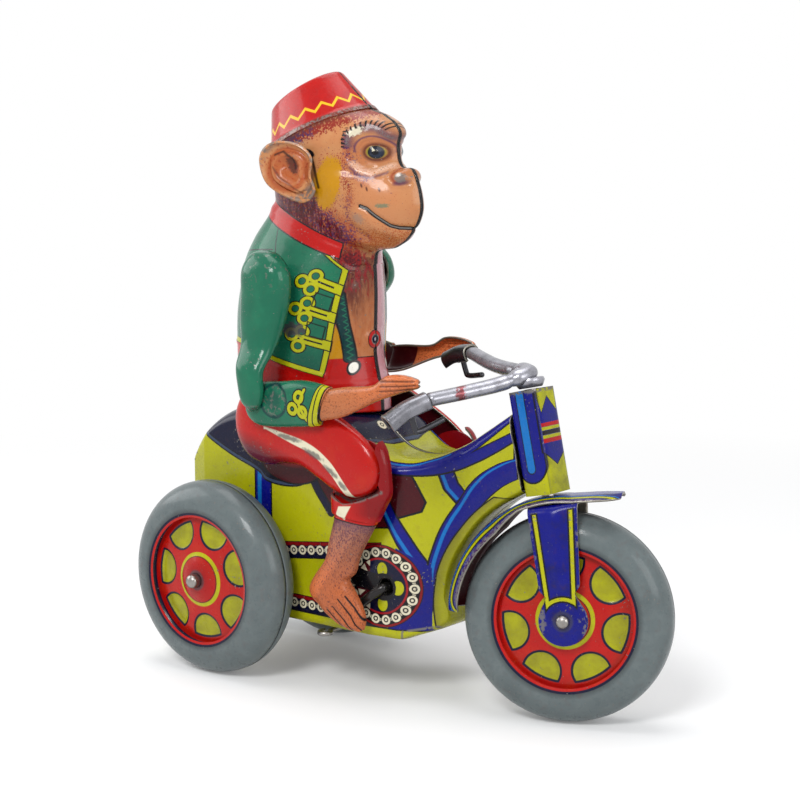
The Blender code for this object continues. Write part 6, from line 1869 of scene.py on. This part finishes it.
        tin.lay(lash.high(abs(u - 23.5) - 0.5).high(abs(v - 99) - 1.5), BLACK, 0.06)
        lid = tin.ellipse(eye_u - 0.2, eye_v + 0.3, 2.7, 2.5)
        tin.lay(lid, FUR, 0.4, 0.75)
        tin.lay((abs(lid) - 0.14).high(eye_v - v), PURPLE, 0.12, 0.8)
        ring = tin.ellipse(eye_u + 0.1, eye_v, 1.75, 1.45)
        tin.lay(abs(ring) - 0.22, BROWN, 0.25, 0.9)
        tin.lay(abs(ring + 0.15) - 0.1, MAROON, 0.15, 0.8)
        tin.lay(ring + 0.35, OLIVE, 0.15, 0.9)
        tin.lay(tin.ellipse(eye_u + 0.15, eye_v, 1.05, 1.15), BLACK, 0.08)
        tin.lay(tin.ellipse(eye_u + 0.25, eye_v - 0.1, 0.8, 0.85), SLATE, 0.25, 0.45)
        tin.lay(tin.ellipse(eye_u + 0.2, eye_v, 0.45, 0.5), BLACK, 0.08)
        glint = tin.polygon((eye_u - 0.25, eye_v + 0.9), (eye_u - 0.1, eye_v + 0.1),
                            (eye_u + 0.3, eye_v + 0.3))
        tin.lay(glint, CREAM)
        under = tin.stroke((24.9, 94.2), (26.2, 92.9), (28.2, 92.6), (30.4, 93.8))
        tin.ink((under + 0 - 0.5).inside(0.3) * fine.rise(0.3, 0.5) * 0.7, Tint(226, 186, 162))
        low = tin.stroke((24.6, 93.4), (26, 92.1), (28.2, 91.7), (30.2, 92.6))
        tin.lay(low - 0.2, PURPLE, 0.25, 0.75)
        nose = tin.ellipse(32.7, 92.1, 1.5, 1.4)
        tin.lay(nose, FUR, 0.5, 0.6)
        tin.lay(tin.stroke((31.7, 93.2), (31.4, 92), (32.1, 90.9)) - 0.25, DEEP_RED, 0.3, 0.7)
        tin.lay(tin.ellipse(32.9, 90.9, 1, 0.45, 12), PURPLE, 0.2, 0.8)
        tip = tin.ellipse(32.9, 91.8, 0.9, 0.8) + (fine - 0.5) * 0.8
        tin.lay(tip, WORN, 0.12, 0.85)
        # Painted highlight: a small white spot on the ball of the nose.
        tin.lay(tin.ellipse(32.6, 92.3, 0.35, 0.3), WHITE, 0.2, 0.8)
        mouth = tin.stroke(*self.mouth)
        tin.steps(mouth, (0.34, BLACK), (0.12, WORN))
        for x, z in ((27.9, 89.8), (30, 89.7), (26.9, 90.4)):
            tin.lay(tin.ellipse(x, z, 0.16, 0.42, 24), BROWN)
        chip = tin.ellipse(30.6, 86.9, 1.1, 0.36) + (fine - 0.5) * 0.6
        tin.lay(chip, Tint(104, 116, 92), 0.08, 0.85)

    def print_skin(self, tin: Litho, chest: bool = False) -> tuple[Field, Field]:
        """Neck and, where it shows, chest, and the ground of the face.

        Returns:
            Fine and coarse dots for the stipple.
        """
        fine = tin.noise(4.4, 1)
        coarse = tin.noise(2.8, 2)
        streak = tin.noise(1.3, 3, (1.8, 1, 0.4))
        tin.mottle(FUR, 0.35, 2, 0.4, 0.65, 0.4)
        if chest:
            bare = (tin.v - (tin.u * -0.42 + 89.6)).inside(0.8)
            tin.ink(bare * 0.75, FUR)
            tin.ink(bare * streak.rise(0.45, 0.65) * 0.4, RUST)
            ruff = tin.polygon((22.2, 70.4), (23.8, 67.6), (25.2, 73.4), (25.9, 77.2), (21.6, 80))
            tin.lay(ruff, BROWN, 1.6, 0.6)
            tin.ink((ruff + 0.2).inside(1) * streak.rise(0.3, 0.5) * 0.9, MAROON)
            tin.ink(ruff.inside(1.4) * tin.noise(2.2, 3, (1.6, 1, 0.35)).rise(0.5, 0.6) * 0.7, BROWN)
        throat = tin.ellipse(22.8, 77.6, 2.7, 5.8, 12)
        tin.lay(throat, BROWN, 1.8, 0.6)
        tin.stipple(throat.inside(2) * 1.1, DEEP_RED, streak)
        tin.stipple((throat + 0.8).inside(1.6), MAROON, coarse)
        tin.stipple(tin.ellipse(21.8, 80.4, 2.4, 3.6, 30).inside(1.4) * 0.8, MAROON, coarse)
        neck = tin.polygon((3, 84), (21.5, 78.6), (26.2, 80), (24.2, 84.4), (20.6, 87.2), (17.2, 90.4),
                           (13, 94.2), (2, 95))
        tin.lay(neck, RUST, 1, 0.6)
        tin.stipple((neck + 0.6).inside(1.2), PURPLE, coarse)
        tin.stipple((neck + 1.4).inside(1.4) * 0.9, MAROON, streak)
        tin.stipple((neck - 0.8).inside(1) * 0.55, DEEP_RED, fine)
        return fine, coarse

    def print_coat(self, tin: Litho, whole: bool) -> None:
        """The collar, and where the whole coat shows, the jacket, brace and trousers."""
        if whole:
            self.print_jacket(tin)
        collar = tin.polygon((-4, 87.2), (21.5, 77.4), (21.9, 80), (-2, 90))
        tin.fill(collar, RED, 0.24)

    def print_jacket(self, tin: Litho) -> None:
        """Jacket, brace and trousers."""
        v = tin.v
        front, peak = self.front, self.notch
        hem = tin.height((-6, 61.4), (5, 61), (10.9, 59.1), (20.3, 56.2), (24, 55))
        tin.fill((v - 59.4).low((v - 63).high(tin.u - 20)), RED, 0.18)
        shade = tin.noise(0.4, 3)
        tin.ink((v - 59.4).inside() * shade.rise(0.5, 0.75) * 0.4, DEEP_RED)
        sliver = tin.polygon((20.4, 59.3), (22.6, 59.4), (22.4, 63.8), (21.6, 65.2))
        tin.lay(sliver, OCHRE)
        brace = tin.stroke((22, 71), (22.6, 65), (23.2, 59.3))
        tin.fill(brace - 0.6, PINE, 0.18)
        zig = tin.u - (abs(v.repeat(1.1)) * 1.1 + (22.9 - 0.3)) + (v - 65.0) * 0.06
        tin.lay((abs(zig) - 0.12).high(brace - 0.5), LEAF, share=0.7)
        tin.fill(tin.ellipse(23.7, 57.7, 0.5, 0.95), WHITE, 0.24)
        edge = tin.half_plane(*front)
        lapel = tin.half_plane(front[1], peak)
        neck = tin.half_plane((21.5, 77.4), (5, 83.8))
        jacket = edge.high(lapel).high(neck).high(hem - v)
        tin.fill(jacket, YELLOW, 0.15)
        tin.lay((edge + 0.75).high(lapel + 0.35).high(neck + 0.1).high(hem - v + 0.75), BLACK)
        inner = (edge + 0.92).high(lapel + 0.55).high(neck + 0.2).high(hem - v + 0.92)
        tin.lay(inner, GREEN)
        tone = tin.noise(0.28, 3)
        tin.ink(inner.inside() * tone.rise(0.42, 0.7) * 0.55, LEAF)
        tin.ink(inner.inside() * (v - 60.5).inside(2.5) * 0.35, PINE)
        for seam in (((8, 82.4), (8.6, 80.4), (9.6, 78)), ((-4, 77.6), (4, 78.4), (8.6, 78.6))):
            tin.lay(tin.stroke(*seam) - 0.12, BLACK, share=0.9)
        self.print_frogging(tin, edge)

    @staticmethod
    def print_frogging(tin: Litho, edge: Field) -> None:
        """Rings and bars of yellow braid down the front of the jacket."""
        bars = (((19, 73.2), (23.2, 71.2)), ((18.2, 68.1), (22.4, 66.4)), ((17.3, 62.9), (21.7, 61.4)))
        rings = ((16.3, 73.3), (18.4, 74.2), (17.9, 71.9), (17.6, 69.4), (15.7, 68.4), (17.3, 66.7),
                 (16.9, 64.3), (15.2, 63.8), (16.2, 61.7))
        braid = reduce(Field.low, [tin.stroke(*bar) - 0.78 for bar in bars])
        braid = reduce(Field.low, [tin.disc(*ring, 1.2) for ring in rings], braid).high(edge)
        tin.fill(braid, YELLOW, 0.2)
        for bar in bars:
            tin.lay((tin.stroke(*bar) - 0.15).high(edge + 1.2), BLACK)
        eyes = reduce(Field.low, [tin.disc(*ring, 0.55) for ring in rings])
        tin.fill(eyes, GREEN, 0.12)
        for corners in (((18.3, 68.9), (20.8, 67.9), (21.3, 70.3), (18.8, 71.3)),
                        ((17.4, 63.6), (19.9, 62.8), (20.4, 65.1), (17.8, 66.1))):
            tin.lay(abs(tin.polygon(*corners)) - 0.11, BLACK, share=0.9)
        rub = tin.noise(1.6, 4)
        worn = (tin.ellipse(15.3, 64.6, 1.9, 1.3) + (rub - 0.5) * 2.4).inside(0.2)
        tin.ink(worn * 0.9, GUNMETAL)

    def print_fez(self, tin: Litho) -> None:
        """Red fez with a yellow zigzag and a dark worn rim."""
        tilt = math.radians(FEZ_TILT_DEG)
        u, v = tin.u - FEZ_BASE[0], tin.v - FEZ_BASE[1]
        up = v * math.cos(tilt) - u * math.sin(tilt)
        ahead = u * math.cos(tilt) + v * math.sin(tilt)
        fine = tin.noise(2.2, 3)
        tin.mottle(DEEP_RED, 0.35, 2, 0.45, 0.75, 0.35)
        tin.lay(abs(up - 0.05) - 0.55, BROWN, 0.2, 0.8)
        round_deg = tin.arithmetic("ARCTAN2", abs(tin.w) * (1 / 0.7), ahead)
        wave = abs(round_deg.repeat(math.radians(20), math.radians(22.5))) * (1.35 / math.radians(10.0)) + 2.0
        line = (abs(up - wave) - 0.3).high(1.2 - up)
        tin.lay(line, GOLD, 0.06)
        tin.wear((abs(up - 0.2) - 0.35).inside(0.15) * fine.rise(0.47, 0.53) * 0.8)
        tin.wear((abs(up - 8.9) - 0.25).inside(0.15) * fine.rise(0.52, 0.58) * 0.6)

    def print_hair(self, tin: Litho) -> None:
        """Dark red and purple hatching under the brim, thicker towards the back."""
        tilt = math.radians(FEZ_TILT_DEG)
        u, v = tin.u - FEZ_BASE[0], tin.v - FEZ_BASE[1]
        up = v * math.cos(tilt) - u * math.sin(tilt)
        ahead = u * math.cos(tilt) + v * math.sin(tilt)
        hair = (abs(up + 1.2) - 1.5).inside(0.9)
        tin.stipple(hair * 1.15, DEEP_RED, tin.noise(2.6, 2))
        tin.stipple(hair * (ahead - 3).inside(6) * 1.3, PURPLE, tin.noise(1.8, 2))
        tin.ink((up + 0.9).rise(-0.4, 0.4) * 0.6, BROWN)

    def print_rider(self) -> list[Coating]:
        """The prints of head, coat and fez."""
        face, nape = Litho("face_print", TAN), Litho("nape_print", TAN)
        coat, fez = Litho("coat_print", TAN), Litho("fez_print", RED)
        self.print_face(face)
        self.print_nape(nape)
        for tin in (face, nape):
            self.print_hair(tin)
        self.print_skin(coat, chest=True)
        for tin in (nape, coat):
            self.print_coat(tin, tin is coat)
        self.print_fez(fez)
        return [self.print_seam(tin, tin is coat) for tin in (face, coat, fez, nape)]

    def print_seam(self, tin: Litho, eyelet: bool) -> Coating:
        """The black line along the front seam, the worn back seam, and the varnish.

        Args:
            tin: the print.
            eyelet: True for the print that holds the eyelet on the belly.

        Returns:
            The finished material.
        """
        off = abs(tin.w)
        front = tin.u.rise(19.5, 20.5)
        left = tin.w.inside(0.1)
        pale = (off - 4).inside(0.6) * left * (tin.v - 82).inside(1) * front
        tin.ink(pale * 0.9, BLUSH)
        tin.ink((off - 0.5).inside(0.08) * front * (tin.v - 104).inside(0.5), BLACK)
        if eyelet:
            far = tin.field("DISTANCE", tin.place, (25.4, -0.3, 62.6))
            tin.steps(far, (1.75, BLACK), (1.6, RED), (1.0, WORN), (0.8, NAVY), (0.35, SILVER))
        rub = tin.noise(1.4, 4)
        back = (tin.u - 4.5).inside(0.5)
        tin.wear(back * (off - 0.5).inside(0.2) * rub.rise(0.36, 0.5) * 0.9)
        tin.wear((off - 0.5).inside(0.2) * rub.rise(0.5, 0.56) * (tin.u - 15).inside(0.5) * 0.8)
        return tin.seal(Finish(roughness=0.25, coat=0.55, chips=0.4, grime=0.16, dents=0.05))


@dataclass
class Studio:
    """Floor, lights, camera and render settings."""

    eye: tuple = (231.8, -253.2, 99.2)
    aim: tuple = (30.71, 0, 51.89)
    lens: float = 81.5

    def lamp(self, name: str, place: tuple, size: float, watts: float, tint: tuple = (1.0, 1.0, 1.0)) -> None:
        """A square soft light that faces the middle of the toy."""
        data = bpy.data.lights.new(name, "AREA")
        data.size = size
        data.energy = watts
        data.color = tint
        light = bpy.data.objects.new(name, data)
        light.location = Vector(place) * MM
        middle = Vector((0.0, 0.0, 50.0)) * MM
        light.rotation_euler = (middle - light.location).to_track_quat("-Z", "Y").to_euler()
        bpy.context.scene.collection.objects.link(light)

    @staticmethod
    def shown(nodes: Any, share: Any = None) -> Any:
        """A mask of the camera, glossy and transmission rays, which show the backdrop, times a share."""
        path = nodes.new("ShaderNodeLightPath").outputs
        seen = path["Is Camera Ray"]
        for name in ("Is Glossy Ray", "Is Transmission Ray"):
            seen = wire(nodes, "Math", (seen, path[name]), operation="MAXIMUM")
        return seen if share is None else wire(nodes, "Math", (seen, share), operation="MULTIPLY")

    def floor(self) -> None:
        """A plain pale floor that fades to white away from the toy."""
        size = 4.0
        mesh = bpy.data.meshes.new("floor")
        mesh.from_pydata([(-size, -size, 0.0), (size, -size, 0.0), (size, size, 0.0), (-size, size, 0.0)], [],
                         [(0, 1, 2, 3)])
        paper = bpy.data.materials.new("paper")
        paper.use_nodes = True
        nodes = paper.node_tree.nodes
        shader = nodes["Principled BSDF"]
        feed(shader, {"Base Color": (0.88, 0.88, 0.88, 1), "Roughness": 0.6})
        glow = wire(nodes, "Emission", {"Color": (1.0, 1.0, 1.0, 1.0)})
        far = wire(nodes, "VectorMath", (wire(nodes, "TexCoord", out="Object"),), "Value", operation="LENGTH")
        fade = wire(nodes, "MapRange", {"Value": far, "From Min": 0.05, "From Max": 0.3, "To Min": 0.15,
                                        "To Max": 1.0}, "Result")
        mix = wire(nodes, "MixShader", (self.shown(nodes, fade), shader.outputs[0], glow))
        feed(nodes["Material Output"], {"Surface": mix})
        mesh.materials.append(paper)
        ground = bpy.data.objects.new("floor", mesh)
        bpy.context.scene.collection.objects.link(ground)

    def world(self) -> None:
        """White behind the toy and in its reflections, and softer for the light it gives."""
        world = bpy.data.worlds.new("studio")
        bpy.context.scene.world = world
        world.use_nodes = True
        nodes = world.node_tree.nodes
        nodes.clear()
        shown = wire(nodes, "Background", {"Color": (1.0, 1.0, 1.0, 1.0), "Strength": 1.0})
        lit = wire(nodes, "Background", {"Color": (0.92, 0.95, 1, 1), "Strength": 0.32})
        feed(nodes.new("ShaderNodeOutputWorld"), (wire(nodes, "MixShader", (self.shown(nodes), lit, shown)),))

    def camera(self) -> None:
        """The photograph's view."""
        data = bpy.data.cameras.new("photo")
        data.lens = self.lens
        data.sensor_width = 36.0
        data.clip_start = 0.01
        eye = bpy.data.objects.new("photo", data)
        place, aim = (Frame.shift(Vector(p)) * MM for p in (self.eye, self.aim))
        eye.location = place
        eye.rotation_euler = (aim - place).to_track_quat("-Z", "Y").to_euler()
        bpy.context.scene.collection.objects.link(eye)
        bpy.context.scene.camera = eye

    def build(self) -> None:
        """Set the studio up."""
        scene = bpy.context.scene
        scene.view_settings.view_transform = "Standard"
        self.floor()
        self.world()
        self.camera()
        self.lamp("key", (120.0, -420.0, 420.0), 0.17, 2.0)
        self.lamp("top", (-80.0, 60.0, 560.0), 0.36, 1.5)
        self.lamp("front", (480.0, -60.0, 240.0), 0.26, 0.9)
        self.lamp("rear", (-420.0, -160.0, 260.0), 0.3, 0.9)


def main() -> None:
    """Build the toy's looks piece by piece, then the studio."""
    logging.basicConfig(level=logging.INFO, format="%(message)s")
    Frame.open()
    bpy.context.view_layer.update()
    bench = Bench()
    for assembly in (WheelSet(bench), Steering(bench), Body(bench), Clockwork(bench), Rider(bench)):
        LOG.info("building %s", type(assembly).__name__)
        assembly.build()
    Studio().build()
    bpy.context.view_layer.update()


if __name__ == "__main__":
    main()
